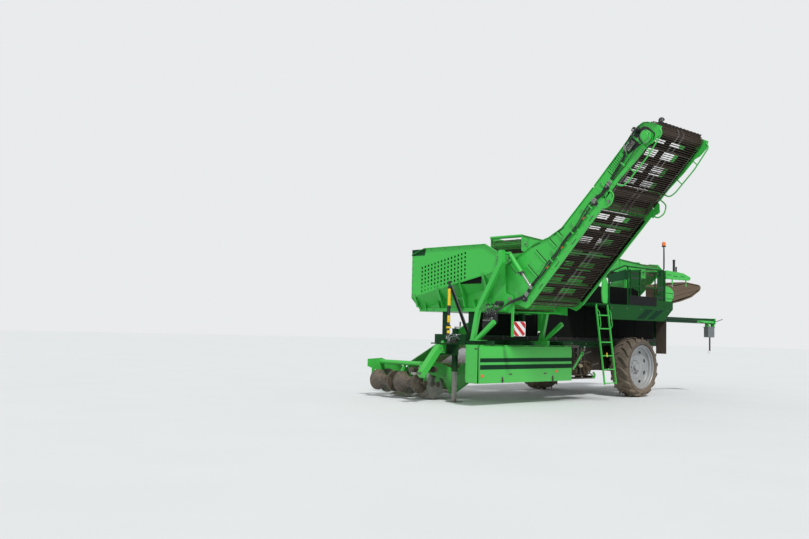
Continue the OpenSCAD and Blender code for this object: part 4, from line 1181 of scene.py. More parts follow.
@dataclass(frozen=True)
class Elevator:
    """The unloading elevator, written along it: X across, Y up the elevator, Z square to it."""

    near: float = -1.2
    far: float = -2.8
    upper: tuple[Pair, ...] = ((2.75, -0.01), (1.78, 0.02), (1.46, 0.13), (1.15, 0.31), (0.89, 0.39), (0.39, 0.57),
        (0.07, 0.27))
    tip: tuple[Pair, ...] = ((4.24, -0.465), (4.36, -0.4), (4.33, -0.3), (4.275, -0.14), (4.21, -0.06),
        (4.1, -0.02))
    low: tuple[Pair, ...] = ((2.778, -0.012), (2.778, -0.36), (3.2, -0.36), (3.62, -0.4), (3.96, -0.41),
        (4.06, -0.455))
    web: float = -0.245

    @property
    def place(self) -> Matrix:
        """Where the elevator's own frame lies when it is raised."""
        return moved(*ELEVATOR_FOOT) @ turned("X", ELEVATOR_RISE)

    @property
    def middle(self) -> float:
        """Where the plane between the two sides stands."""
        return (self.near + self.far) / 2

    def build(self) -> None:
        """Make the lower flight's details, the head, the hoses and the web's run over the hinge."""
        self.lower()
        self.head()
        self.lamp()
        self.lines()
        self.bridge()

    def shade_sheets(self, start: float, end: float, rows: Sequence[Pair], skirt: float) -> Piece:
        """Make black sheets between the web's two runs, with open windows, and black skirts beside the web: painted
        shade under the elevator.

        Args:
            start: Where they start, up the elevator.
            end: Where they end.
            rows: Where each row of windows starts and ends.
            skirt: Where the skirts' lower edges lie, square to the elevator.

        Returns:
            The black sheets and skirts.
        """
        x1, x2 = self.far + 0.014, self.near - 0.014
        sheets = [block((a, start, -0.258), (b, end, -0.25), 0.001)
            for a, b in ((x1, -2.52), (-2.03, -1.84), (-1.5, x2))]
        edges = [start, *[u for row in rows for u in row], end]
        sheets += [block((a, low, -0.259), (b, high, -0.249), 0.001) for low, high in zip(edges[::2], edges[1::2])
            for a, b in ((-2.525, -2.025), (-1.845, -1.495))]
        sheets += [block((x, start, skirt), (x + 0.004, end, -0.25), 0.001) for x in (x1 - 0.004, x2)]
        return dress(sheets, SHADOW_BLACK)

    def clamp(self, u: float, low: float, high: float) -> Piece:
        """Make a green hose clamp on the near side, with its bolt.

        Args:
            u: Where it starts, up the elevator.
            low: Its lower edge, square to the elevator.
            high: Its upper edge.

        Returns:
            The clamp.
        """
        x = self.near
        body = dress(block((x, u, low), (x + 0.052, u + 0.03, high), 0.004), GREEN)
        return joined([body, bolt_heads([((x + 0.052, u + 0.015, (low + high) / 2), X_WAY)], 0.009)])

    def rib(self, u: float, low: float, high: float) -> Piece:
        """Make a folded rib on the near side plate, with a black strip beside it.

        Args:
            u: Its middle, up the elevator.
            low: Its lower end, square to the elevator.
            high: Its upper end.

        Returns:
            The rib and the black strip.
        """
        fold = plate(rounded(rect(u - 0.016, low, u + 0.016, high), 0.008), 0.016, across(self.near), 0.004)
        joint = block((self.near, u + 0.018, low), (self.near + 0.0015, u + 0.036, high), 0)
        return joined([dress(fold, GREEN), dress(joint, BLACK)])

    def lower(self) -> None:
        """Make the lower flight: folded edges, ribs, a service hatch, housings and pins."""
        x = self.near
        parts = [dress(plate(ribbon(self.upper, 0.006), 0.03, across(x), 0.001), GREEN)]
        lip = [(0.34, -0.425), (2.6, -0.425), (2.68, -0.36), (2.66, -0.315), (0.42, -0.315), (0.34, -0.36)]
        parts.append(dress(plate(rounded(lip, 0.02), 0.026, across(x), 0.006), GREEN))
        parts += [self.rib(*rib) for rib in ((0.72, -0.18, 0.16), (1.06, -0.15, 0.21), (1.42, -0.125, 0.108),
            (1.645, -0.113, 0.05))]
        hatch = plate(rounded(rect(0.79, -0.13, 1.0, 0.15), 0.02), 0.005, across(x), 0.002)
        doubler = [(-0.05, -0.09), (0.1, -0.12), (0.66, -0.4), (0.72, -0.22), (0.16, 0.12), (-0.04, 0.1)]
        parts.append(dress([hatch, plate(rounded(doubler, 0.05), 0.008, across(x), 0.002)], GREEN))
        slots = [plate([(a, p - 0.018), (b, q - 0.018), (b, q - 0.036), (a, p - 0.036)], 0.0015, across(x))
            for a, p, b, q in ((1.55, 0.1, 1.81, 0.02), (1.05, 0.35, 1.24, 0.25))]
        slots += [plate(rounded(rect(u, -0.388, u + 0.14, -0.372), 0.007), 0.001, across(x + 0.026))
            for u in (0.6, 1.15, 1.7, 2.25)]
        parts.append(dress(slots, BLACK))
        parts += [bearing((x, u, self.web), X_WAY, 0.065) for u in (0.23, 2.58)]
        parts.append(pin_head((x + 0.06, 0, 0), X_WAY, 0.025))
        spots = [((x + 0.022, u + 0.02, v), X_WAY) for u in (1.3, 1.63, 1.96, 2.29) for v in (-0.1, -0.14)]
        spots += [((x + 0.008, u, v), X_WAY) for u, v in ((0.04, 0.06), (0.16, 0.06), (0.2, -0.06), (0.4, -0.19),
            (0.66, -0.28))]
        spots += [((x + 0.005, u, v), X_WAY) for u in (0.83, 0.97) for v in (0.13, -0.11)]
        spots += [((x + 0.026, 0.45 + 0.21 * k, -0.345), X_WAY) for k in range(11)]
        parts.append(bolt_heads(spots, 0.009))
        parts.append(dress(bar((x + 0.017, 2.77, -0.462), (x + 0.022, 2.77, -0.462), 0.034, 24, 0.002), STEEL))
        near = joined(parts)
        rows = ((0.42, 0.58), (0.72, 0.92), (1.04, 1.24), (1.36, 1.56), (1.68, 1.86), (1.98, 2.1), (2.26, 2.4))
        # The black sheets between the web's runs are painted shade.
        stand("elevator_details", [near, mirrored(near, self.middle), self.shade_sheets(0.34, 2.46, rows, -0.39)], GREEN,
            "elevator", place=self.place)

    def head(self) -> None:
        """Make the folded head in place of its solid: side plates, guard loops, rollers and drive."""
        x = self.near
        outline = [*self.low, *self.tip]
        far_tip = [*self.tip[:5], (4.13, 0.055), (3.98, 0.03), (3.86, -0.016)]
        sides = [plate(outline, 0.008, across(x - 0.008), 0.001),
            plate([*self.low, *far_tip], 0.008, across(self.far), 0.001)]
        parts = [plate(ribbon([*self.tip[2:], self.low[0]], 0.006), 0.032, across(x), 0.001)]
        flange = [(2.96, -0.36), (3.22, -0.36), (3.62, -0.398), (3.93, -0.405), (3.93, -0.33), (3.62, -0.32),
            (2.96, -0.28)]
        parts.append(plate(rounded(flange, 0.015), 0.024, across(x), 0.005))
        parts += [plate(rounded(rect(u, -0.27, u + 0.04, -0.07), 0.008), 0.022, across(x), 0.004)
            for u in (2.89, 3.89)]
        parts.append(plate(rounded(rect(2.78, -0.34, 2.86, -0.02), 0.01), 0.01, across(x), 0.002))
        parts.append(plate(rounded([(2.69, -0.3), (2.82, -0.3), (2.82, -0.02), (2.69, -0.018)], 0.012), 0.005,
            across(x), 0.001))
        parts.append(plate(rounded([(2.74, -0.49), (2.8, -0.5), (2.9, -0.4), (2.9, -0.32), (2.77, -0.32),
            (2.74, -0.42)], 0.02), 0.008, across(x - 0.008), 0.001))
        loop = [(x - 0.004, u, v) for u, v in ((4.31, -0.385), (4.285, -0.48), (3.81, -0.53), (3.24, -0.515),
            (3.12, -0.47), (3.09, -0.35))]
        parts.append(tube(loop, 0.013, 0.06, sides=12))
        parts += [block((x - 0.01, u, -0.52), (x + 0.002, u + 0.02, -0.38), 0.003) for u in (3.45, 3.9)]
        ring = [(x, 2.95, -0.34)] + [(x + 0.075, u, v) for u, v in ((2.95, -0.34), (2.95, -0.49), (2.8, -0.565),
            (2.66, -0.52), (2.63, -0.43))]
        parts.append(tube(ring, 0.013, 0.06, sides=12))
        metal = joined(parts)
        metal = dress([metal, mirrored(metal, self.middle), *sides], GREEN)
        grille = [block((x, u, v), (x + 0.001, u + 0.014, v + 0.034), 0) for u in (3.2 + 0.04 * k for k in range(8))
            for v in (-0.19 + 0.046 * j for j in range(4))]
        grille += [block((x, u + 0.045, -0.2), (x + 0.0015, u + 0.06, -0.05), 0) for u in (3.1, 3.52)]
        heads = bolt_heads([((x + 0.024, 3.05 + 0.2 * k, -0.335 - 0.012 * k), X_WAY) for k in range(5)]
            + [((x + 0.022, u + 0.02, v), X_WAY) for u in (2.89, 3.89) for v in (-0.1, -0.24)] + [((x, u, v), X_WAY)
            for u, v in ((4.24, -0.12), (4.29, -0.3), (4.15, -0.06))], 0.01)
        rollers = [bar((self.far + 0.008, u, self.web), (x - 0.008, u, self.web), 0.09, 32) for u in (2.94, 4.23)]
        rollers.append(bar((self.far + 0.008, 3.585, self.web), (x - 0.008, 3.585, self.web), 0.03, 20))
        # The black sheets under the head's web are painted shade.
        rest = [metal, heads, dress(grille, DARK_GREEN), dress(rollers, WEB),
            pin_head((x + 0.03, 2.77, -0.462), X_WAY, 0.02),
            pin_head((self.far - 0.03, 2.77, -0.462), (-1, 0, 0), 0.02), bearing((x, 2.94, self.web), X_WAY, 0.065),
            bearing((self.far, 2.94, self.web), (-1, 0, 0), 0.065),
            bearing((self.far, 4.23, self.web), (-1, 0, 0), 0.065), *self.drive(), self.shade_sheets(3.06, 4.12,
            ((3.1, 3.24), (3.36, 3.62), (3.72, 3.9), (3.99, 4.08)), -0.35)]
        stand("elevator_head_frame", rest, GREEN, "elevator_head", "head_frame", place=self.place)

    def drive(self) -> list[Piece]:
        """Make the gearbox, the motor and the valve bank at the head's tip.

        Returns:
            The parts.
        """
        x = self.near
        case = [(3.97, -0.4), (3.975, -0.29), (4.02, -0.215), (4.1, -0.2), (4.175, -0.25), (4.175, -0.36),
            (4.1, -0.42)]
        middle = Vector((4.075, -0.305))
        lid, seam = ([tuple(middle + (Vector(p) - middle) * size) for p in case] for size in (0.72, 1.05))
        green = dress([plate(rounded(case, 0.03), 0.12, across(x), 0.008),
            plate(rounded(lid, 0.02), 0.02, across(x + 0.12), 0.006)], GREEN)
        bolts = bolt_heads([((x + 0.12, *(middle + (Vector(p) - middle) * 0.84)), X_WAY) for p in case], 0.01)
        black = [plate(rounded(seam, 0.03), 0.012, across(x + 0.05)), bar((x + 0.02, 4.04, -0.09),
            (x + 0.17, 4.04, -0.09), 0.05, 24, 0.006),
            block((x + 0.14, 4.0, -0.13), (x + 0.18, 4.08, -0.05), 0.008),
            block((x, 3.98, -0.14), (x + 0.03, 4.1, -0.04), 0.004)]
        # A thin black plate behind the fittings at the tip: painted shade
        shade_pad = [(3.6, -0.19), (3.68, -0.07), (3.98, -0.04), (4.16, -0.1), (4.2, -0.2), (4.2, -0.38), (4.1, -0.43),
            (3.95, -0.3)]
        black.append(plate(rounded(shade_pad, 0.03), 0.002, across(x)))
        steel = [block((x + 0.01, 3.68, -0.2), (x + 0.07, 3.86, -0.1), 0.004)]
        for k in range(4):
            steel.append(bar((x + 0.07, 3.7 + 0.045 * k, -0.15), (x + 0.105, 3.7 + 0.045 * k, -0.15), 0.014, 6,
                0.002))
            steel.append(bar((x + 0.04, 3.7 + 0.045 * k, -0.1), (x + 0.04, 3.7 + 0.045 * k, -0.075), 0.012, 6,
                0.002))
        pipes = [hose([(x + 0.105, 3.7 + 0.045 * k, -0.15), (x + 0.14, 3.71 + 0.045 * k, -0.15),
            (x + 0.15, 3.82 + 0.04 * k, -0.2 + 0.03 * k), (x + 0.17, 4.0 + 0.02 * k, -0.1),
            (x + 0.18, 4.03, -0.075 - 0.01 * k)], 0.009, 0.04) for k in range(3)]
        pipes += [hose([(x + 0.04, 3.7 + 0.09 * k, -0.075), (x + 0.04, 3.7 + 0.09 * k, -0.045),
            (x + 0.06, 3.86 + 0.04 * k, -0.04), (x + 0.1, 3.97, -0.06)], 0.008, 0.03) for k in range(2)]
        return [green, bolts, dress(black, BLACK), dress(steel, STEEL), *pipes]

    def lamp(self) -> None:
        """Make the work lamp that looks down from the head, in place of its solid node."""
        way, at = turned("X", 150), moved(self.near - 0.47, 4.34, -0.02)
        shell = spun([(0.001, -0.035), (0.035, -0.03), (0.054, -0.005), (0.056, 0.02), (0.05, 0.02), (0.048, 0.0),
            (0.001, -0.02)], at @ way, 32)
        glass = spun([(0.001, 0.012), (0.05, 0.01), (0.05, 0.015), (0.001, 0.02)], at @ way, 32)
        arm = block((self.near - 0.48, 4.2, -0.06), (self.near - 0.46, 4.33, -0.03), 0.003)
        beam = block((self.far + 0.008, 4.18, -0.084), (self.near - 0.008, 4.22, -0.06), 0.003)
        stand("work_lamp", [dress(glass, LENS), dress([shell, arm, beam], BLACK)], LENS, "elevator_head",
            "head_lamp", place=self.place)

    def lines(self) -> None:
        """Run the hoses up the near side: over the pivot, along the flight, over the fold and on the head."""
        x, lift = self.near + 0.036, [-0.262 + 0.02 * k for k in range(4)]
        sway = [(0.34, 0.0), (0.62, 0.02), (0.86, -0.012), (1.1, 0.014), (1.35, -0.01), (1.7, 0.02), (2.05, -0.008),
            (2.4, 0.034), (2.6, 0.045)]
        lower = []
        for k, v in enumerate(lift):
            path = [(x + 0.006 * ((k + i) % 3), u, v + side * (0.2 + 0.5 * ((k * 7 + i * 3) % 4)))
                for i, (u, side) in enumerate(sway[:-1])]
            lower.append(hose([*path, (x, 2.6, v + 0.03)], 0.008, 0.1))
        lower += [self.clamp(u, lift[0] - 0.02, lift[-1] + 0.025) for u in (0.5, 1.18, 1.86, 2.45)]
        marks = [bar((x + 0.006, u, lift[0] + 0.004), (x + 0.006, u + 0.05, lift[0] + 0.005), 0.011, 12)
            for u in (1.02, 1.5, 2.2)]
        stand("elevator_hoses", [*lower, dress(marks, REFLECTOR)], HOSE, "elevator", place=self.place)
        folds = [hose([(x, 2.6, v + 0.03), (x, 2.7, v + 0.01), (x + 0.01, 2.79, v - 0.05), (x, 2.9, v - 0.01),
            (x, 3.02, v - 0.015)], 0.008, 0.06) for v in lift]
        self.crossing("fold_hoses", folds, self.place)
        upper = [hose([(x, 3.02, v - 0.015), (x, 3.3, v + 0.01), (x + 0.01, 3.55, v + 0.03),
            (x + 0.04, 3.62, v + 0.07), (x + 0.06, 3.69, v + 0.1 + 0.01 * k)], 0.008, 0.1)
            for k, v in enumerate(lift[1:])]
        upper.append(hose([(x, 3.02, lift[0] - 0.015), (x, 3.5, -0.29), (x + 0.02, 3.85, -0.27),
            (x + 0.1, 3.97, -0.24)], 0.008, 0.1))
        upper += [self.clamp(u, lift[0] - 0.035, lift[-1] + 0.01) for u in (3.06, 3.42)]
        stand("head_hoses", upper, HOSE, "elevator_head", place=self.place)
        away = self.place.inverted()
        foot = []
        for k, v in enumerate(lift):
            start = [away @ Vector(p) for p in ((-0.9, 1.04 + 0.05 * k, 1.7), (-0.86, 1.08 + 0.05 * k, 1.78),
                (-1.0, 1.3 + 0.02 * k, 1.9))]
            foot.append(hose([*start, (-1.1, 0.02 - 0.01 * k, -0.13 + 0.022 * k), (x, 0.26, v + 0.004),
                (x, 0.34, v)], 0.009, 0.1))
        self.crossing("pivot_hoses", foot, self.place)

    def crossing(self, name: str, lines: Sequence[Piece], place: Matrix) -> None:
        """Join a piece that crosses a joint, and fix it where it lies at rest.

        Args:
            name: The piece's name.
            lines: Its parts, with places along the elevator.
            place: Where the elevator's own frame lies.
        """
        piece, row = joined(lines), GROUND @ place
        piece.name = name
        piece.data.transform(row)
        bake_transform(piece)

    def bridge(self) -> None:
        """Carry the web's rods and belts over the fold, as one endless web would run."""
        x1, x2, reach = self.far + 0.027, self.near - 0.027, 0.1055
        rod = bar((x1, 0, 0), (x2, 0, 0), 0.0075, 8)
        rods = joined(copies(rod, [moved(0, 2.6 + 0.042 * k, self.web + side * reach) for k in range(9)
            for side in (-1, 1)]))
        wide = x2 - x1
        belts = [block((x1 + b - 0.03, 2.58, self.web + side * 0.0958 - 0.0055),
            (x1 + b + 0.03, 2.94, self.web + side * 0.0958 + 0.0055), 0)
            for b in (0.05, wide / 2 - 0.08, wide / 2 + 0.08, wide - 0.05) for side in (-1, 1)]
        # A black sheet between the runs over the fold: painted shade
        fold_shade_sheet = dress(block((x1, 2.685, -0.26), (x2, 2.835, -0.25), 0.001), SHADOW_BLACK)
        self.crossing("web_over_fold", [dress(rods, WEB), dress(belts, BELT), fold_shade_sheet], self.place)


@dataclass(frozen=True)
class LiftCylinders:
    """Glands, ports and pins of the two cylinders that raise the elevator, written along each cylinder."""

    top: Pair = (1.47, 2.98)
    lobe: Pair = (2.0172, 2.3094)
    lines: Pair = (-1.09, -2.91)
    barrel: float = 0.53

    def build(self) -> None:
        """Make the barrels' and the rods' details."""
        run = Vector((self.lobe[0] - self.top[0], self.lobe[1] - self.top[1]))
        lean = turned("X", degrees(atan2(run.y, run.x)))
        bodies = {"lift_barrel": [], "lift_rod": []}
        for x, out in zip(self.lines, (1, -1)):
            place = moved(x, *self.top) @ lean
            parts = [dress(bar((0, self.barrel - 0.05, 0), (0, self.barrel + 0.004, 0), 0.048, 32, 0.004), BLACK),
                dress(bar((0, self.barrel + 0.004, 0), (0, self.barrel + 0.02, 0), 0.034, 32, 0.003), STEEL),
                dress([block((0.03 * out - 0.014, y, -0.056), (0.03 * out + 0.014, y + 0.03, -0.026), 0.003)
                for y in (0.07, self.barrel - 0.09)], BLACK),
                hose([(0.03 * out, 0.085, -0.06), (0.03 * out, 0.087, -0.1), (0.03 * out, 0.16, -0.12),
                (0.03 * out, 0.3, -0.11), (0.03 * out, self.barrel - 0.075, -0.09),
                (0.03 * out, self.barrel - 0.075, -0.06)], 0.008, 0.03)]
            shell = spun([(0.001, 0.03), (0.042, 0.03), (0.042, self.barrel), (0.034, self.barrel), (0.034, 0.06),
                (0.001, 0.06)], turned("X", -90), 40)
            parts.append(dress([shell, bar((-0.025, 0, 0), (0.025, 0, 0), 0.038, 28, 0.003)], GREEN))
            for part in parts:
                part.data.transform(place)
            bodies["lift_barrel"] += parts
            nut = dress(bar((0, run.length - 0.075, 0), (0, run.length - 0.035, 0), 0.034, 6, 0.003), STEEL)
            cap = pin_head((0.02 * out, run.length, 0), (out, 0, 0), 0.02)
            for part in (nut, cap):
                part.data.transform(place)
            bodies["lift_rod"] += [nut, cap]
        stand("lift_barrels_dressed", bodies["lift_barrel"], GREEN, "lift_barrel", "lift_barrels")
        stand("lift_rod_details", bodies["lift_rod"], STEEL, "lift_rod")


# Left side


@dataclass(frozen=True)
class SideBox:
    """The long box with its hinged cover."""

    front: float = -0.58
    rear: float = -3.52
    face: float = 1.2

    def build(self) -> None:
        """Make the cover in place of its solid, and the box's fittings."""
        x1, x2, y = self.front - 0.012, self.rear + 0.012, self.face
        sheet = [(y - 0.036, 0.452), (y - 0.005, 0.452), (y, 0.458), (y, 1.09), (y - 0.003, 1.102),
            (y - 0.021, 1.163), (y - 0.028, 1.171), (y - 0.046, 1.171)]
        shell = [plate(ribbon(sheet, 0.004), x1 - x2, across(x2))]
        end = [(y - 0.036, 0.455), (y - 0.002, 0.458), (y - 0.002, 1.09), (y - 0.024, 1.166), (y - 0.044, 1.168)]
        shell += [plate(end, 0.004, across(x)) for x in (x1 - 0.004, x2)]
        shell += [block((x - 0.03, y - 0.03, 0.47), (x + 0.03, y - 0.005, 1.08), 0.006)
            for x in (-1.3, -2.05, -2.8)]
        knuckle = bar((-0.045, 0, 0), (0.045, 0, 0), 0.012, 16, 0.002)
        shell += copies(knuckle, [moved(x, 1.147, 1.18) for x in (-0.69, -1.4, -2.05, -2.7, -3.37)])
        parts = [dress(shell, GREEN)]
        bands = [block((x2 + 0.002, y, low), (x1 - 0.002, y + 0.0012, high), 0) for low,
            high in ((0.86, 0.94), (0.72, 0.81))]
        parts.append(dress(bands, STRIPE))
        marks = [plate([(x + px, z + pz) for px, pz in oval(0.09, 0.05)], 0.006, along(y + 0.006), 0.002)
            for x, z in ((-0.66, 0.6), (-2.98, 0.66))]
        parts.append(dress(marks, REFLECTOR))
        holes = [plate([(x + px, 0.62 + pz) for px, pz in oval(0.1, 0.03)], 0.001, along(y + 0.001))
            for x in (-1.5, -2.6)]
        parts.append(dress(holes, BLACK))
        for x in (-1.25, -2.85):
            strap_body = [block((x - 0.02, y, 0.455), (x + 0.02, y + 0.012, 0.56), 0.005),
                bar((x - 0.03, y + 0.014, 0.5), (x + 0.03, y + 0.014, 0.5), 0.009, 12, 0.002)]
            parts.append(dress(strap_body, HOSE))
            parts.append(dress(block((x - 0.026, y - 0.001, 0.552), (x + 0.026, y + 0.008, 0.575), 0.002),
                GREY_BOX))
        stand("cover_panel", parts, GREEN, "box_cover", "side_cover")
        self.fittings()

    def fittings(self) -> None:
        """Make the end frame with its slot, the lock pins and the shelves inside."""
        x, y = self.front, self.face
        frame = [block((x - 0.004, y - 0.366, 0.45), (x + 0.006, y - 0.34, 1.19), 0.002),
            block((x - 0.004, y - 0.366, 0.45), (x + 0.006, y - 0.065, 0.475), 0.002),
            plate(rounded(rect(y - 0.32, 0.6, y - 0.12, 1.0), 0.04), 0.004, across(x), 0.002)]
        inner = [block((self.rear + 0.01, y - 0.35, z), (self.front - 0.01, y - 0.08, z + 0.004), 0)
            for z in (0.72, 0.96)]
        inner += [block((px, y - 0.35, 0.46), (px + 0.004, y - 0.07, 1.17), 0) for px in (-1.3, -2.05, -2.8)]
        slot = dress(plate([(y - 0.1 + a, 1.115 + b) for a, b in oval(0.07, 0.026)], 0.002, across(x + 0.0005)),
            BLACK)
        heads = bolt_heads([((x + 0.006, y - 0.353, 0.5 + 0.155 * k), X_WAY) for k in range(5)]
            + [((x + 0.006, y - 0.3 + 0.07 * k, 0.462), X_WAY) for k in range(4)], 0.008)
        stand("box_fittings", [dress(frame + inner, GREEN), slot, heads], GREEN, "root")


@dataclass(frozen=True)
class HosePost:
    """The black post with yellow sleeves that holds the hoses clear of the drawbar."""

    x: float = -0.74
    y: float = 0.2

    def build(self) -> None:
        """Make the post, its brace, the lever bank and the parked hoses in place of the solid node."""
        x, y = self.x, self.y
        black = [bar((x, y, 1.204), (x, y, 2.42), 0.022, 20), bar((x, y, 2.41), (x, y, 2.455), 0.037, 20, 0.008),
            bar((x, y, 1.204), (x, y, 1.22), 0.06, 20, 0.003),
            block((-1.36, y - 0.015, 1.38), (-1.3, 0.38, 1.4), 0.002)]
        brace = [(-1.35, 1.4), (-1.28, 1.4), (x, 2.33), (x, 2.43)]
        black.append(plate(brace, 0.012, along(y + 0.006), 0.002))
        black += [block((x - 0.05, y - 0.012, z), (x + 0.05, y + 0.012, z + 0.03), 0.004) for z in (1.54, 1.9)]
        sleeves = []
        for low, high, wide in ((1.4, 1.46, 0.032), (1.5, 1.54, 0.05), (1.62, 1.76, 0.03), (1.96, 2.3, 0.03)):
            sleeves.append(bar((x, y, low), (x, y, high), wide, 20, 0.004))
            rings = int((high - low) / 0.04)
            sleeves += [bar((x, y, low + 0.04 * k + 0.008), (x, y, low + 0.04 * k + 0.024), wide + 0.004, 20, 0.003)
                for k in range(rings)]
        zinc = [tube([(-1.3, y + 0.03, 1.44), (x - 0.09, y + 0.03, 2.28), (x - 0.04, y + 0.02, 2.38)], 0.011, 0.06),
            tube([(x + 0.03, y + 0.03, 1.24), (x + 0.03, y + 0.03, 1.36), (x - 0.1, y + 0.05, 1.39),
            (x - 0.24, y + 0.08, 1.3)], 0.012, 0.05), tube([(x + 0.03, y + 0.06, 1.24), (x + 0.03, y + 0.06, 1.32),
            (x - 0.1, y + 0.08, 1.35), (x - 0.24, y + 0.11, 1.27)], 0.012, 0.05)]
        levers, knobs = [], []
        for k in range(5):
            lx = x - 0.1 - 0.05 * k
            black.append(block((lx - 0.02, y - 0.03, 1.204), (lx + 0.02, y + 0.05, 1.27), 0.004))
            levers.append(bar((lx, y + 0.01, 1.27), (lx - 0.01, y + 0.03, 1.36), 0.005, 8))
            knobs.append(bar((lx - 0.01, y + 0.03, 1.355), (lx - 0.011, y + 0.034, 1.385), 0.012, 12, 0.004))
        lines = []
        for k in range(4):
            shift = 0.022 * (k - 1.5) - 0.05
            lines.append(hose([(x - 0.03, y + shift, 1.3), (x - 0.045, y + shift, 1.75), (x - 0.05, y + shift, 2.3),
                (x - 0.06, y + shift, 2.38), (x - 0.14, y + shift, 2.3), (-1.24, y + shift, 1.62),
                (-1.31, y + 0.02 + shift, 1.46), (-1.32, 0.36, 1.42 + 0.002 * k)], 0.009, 0.12))
        black = [dress(black, BLACK), dress(knobs, BOARD), dress(levers, STEEL)]
        parts = [*black, dress(sleeves, YELLOW_SLEEVE), dress(zinc, GREY_BOX), *lines]
        stand("hose_post_dressed", parts, BLACK, "root", "hose_post")


@dataclass(frozen=True)
class FrontValves:
    """The valve bank on the front leg, with its levers and pipes."""

    def build(self) -> None:
        """Make the bank in place of its solid node."""
        x = -0.96
        slices = [block((x, 1.03 + 0.045 * k, 1.645), (x + 0.06, 1.07 + 0.045 * k, 1.795), 0.004) for k in range(6)]
        slices += [bar((x + 0.06, 1.05 + 0.045 * k, 1.68), (x + 0.085, 1.05 + 0.045 * k, 1.68), 0.016, 12, 0.003)
            for k in range(6)]
        slices.append(block((x, 1.0, 1.63), (x + 0.008, 1.31, 1.82), 0.002))
        levers, knobs = [], []
        for k in range(6):
            y, tip = 1.05 + 0.045 * k, 1.96 + 0.015 * (k % 2)
            levers.append(bar((x + 0.03, y, 1.795), (x + 0.035 + 0.01 * (k % 3), y, tip), 0.005, 8))
            levers.append(block((x + 0.015, y - 0.012, 1.79), (x + 0.045, y + 0.012, 1.83), 0.004))
            knobs.append(bar((x + 0.034 + 0.01 * (k % 3), y, tip - 0.005),
                (x + 0.036 + 0.01 * (k % 3), y, tip + 0.035), 0.013, 12, 0.005))
        pipes = [hose([(x + 0.085, 1.05 + 0.045 * k, 1.68), (x + 0.12, 1.05 + 0.045 * k, 1.675),
            (x + 0.13, 1.03 + 0.03 * k, 1.55), (-0.93, 0.98 + 0.012 * k, 1.4), (-0.95, 0.86, 1.3 + 0.004 * k)],
            0.009, 0.05) for k in range(6)]
        pipes += [hose([(x + 0.07, 1.05 + 0.045 * k, 1.72), (x + 0.14, 1.05 + 0.045 * k, 1.7 - 0.01 * k),
            (x + 0.17, 1.1 + 0.05 * k, 1.78), (x + 0.12, 1.11 + 0.05 * k, 1.9 + 0.015 * k),
            (x + 0.03, 1.09 + 0.045 * k, 1.88), (x + 0.03, 1.072 + 0.045 * k, 1.79)], 0.008, 0.045)
            for k in range(5)]
        parts = [dress(slices, BLACK), dress(levers, STEEL), dress(knobs, HOSE), *pipes]
        heads = bolt_heads([((x + 0.008, 1.01, 1.65 + 0.07 * k), X_WAY) for k in range(3)], 0.007)
        stand("valve_bank", [*parts, heads], HOSE, "root", "valve_block")


@dataclass(frozen=True)
class WarningBoard:
    """The square board with red diagonals, on its folded post."""

    x: float = -1.15
    y: float = 1.58
    low: float = 1.378
    side: float = 0.282

    def build(self) -> None:
        """Make the board, its stripes and its post in place of the solid node."""
        x, y, z, s = self.x + 0.02, self.y, self.low, self.side
        board = dress(plate(rounded(rect(y, z, y + s, z + s), 0.02), 0.005, across(x), 0.001), BOARD)
        bands = []
        for low, high in ((-0.83 * s, -0.5 * s), (-0.16 * s, 0.17 * s), (0.5 * s, 0.83 * s)):
            corners = [(low, 0), (high, 0), (high + s, s), (low + s, s)]
            bands.append(self.clipped(corners, s))
        red = [plate([(y + s - p[0], z + p[1]) for p in band], 0.001, across(x + 0.005)) for band in bands
            if len(band) > 2]
        post = [block((x - 0.02, 1.52, 1.36), (x, 1.56, 1.85), 0.002),
            block((x - 0.02, 1.56, 1.5), (x, 1.62, 1.54), 0.002),
            block((x - 0.006, 1.505, 1.36), (x, 1.52, 1.85), 0.001)]
        heads = bolt_heads([((x + 0.006, 1.6, 1.52), X_WAY), ((x, 1.54, 1.8), X_WAY), ((x, 1.54, 1.74), X_WAY)],
            0.008)
        stand("warning_board_dressed", [board, dress(red, RED_SHEET), dress(post, GREEN), heads], BOARD, "root",
            "warning_board")

    def clipped(self, corners: Sequence[Pair], side: float) -> list[Pair]:
        """Cut a slanting band to the board, from 0 to side across.

        Args:
            corners: Its corners: two at the foot, two at the top.
            side: Side of the board.

        Returns:
            The corners of what lies on the board.
        """
        (a, _), (b, _), _, _ = corners
        edge = 0.004
        low, high = edge, side - edge
        left = [(min(max(a + t, low), high), min(max(t, low), high))
            for t in (max(low, low - a), min(high, high - a))]
        right = [(min(max(b + t, low), high), min(max(t, low), high))
            for t in (min(high, high - b), max(low, low - b))]
        if left[0][1] >= left[1][1] and right[1][1] >= right[0][1]:
            return []
        corner = []
        if left[1][1] >= high and right[0][0] >= high:
            corner = [(high, high)]
        if left[0][0] <= low and right[1][1] <= low and left[0][1] > low:
            return [left[0], left[1], *corner, right[0], right[1], (low, low)]
        return [left[0], left[1], *corner, right[0], right[1]]


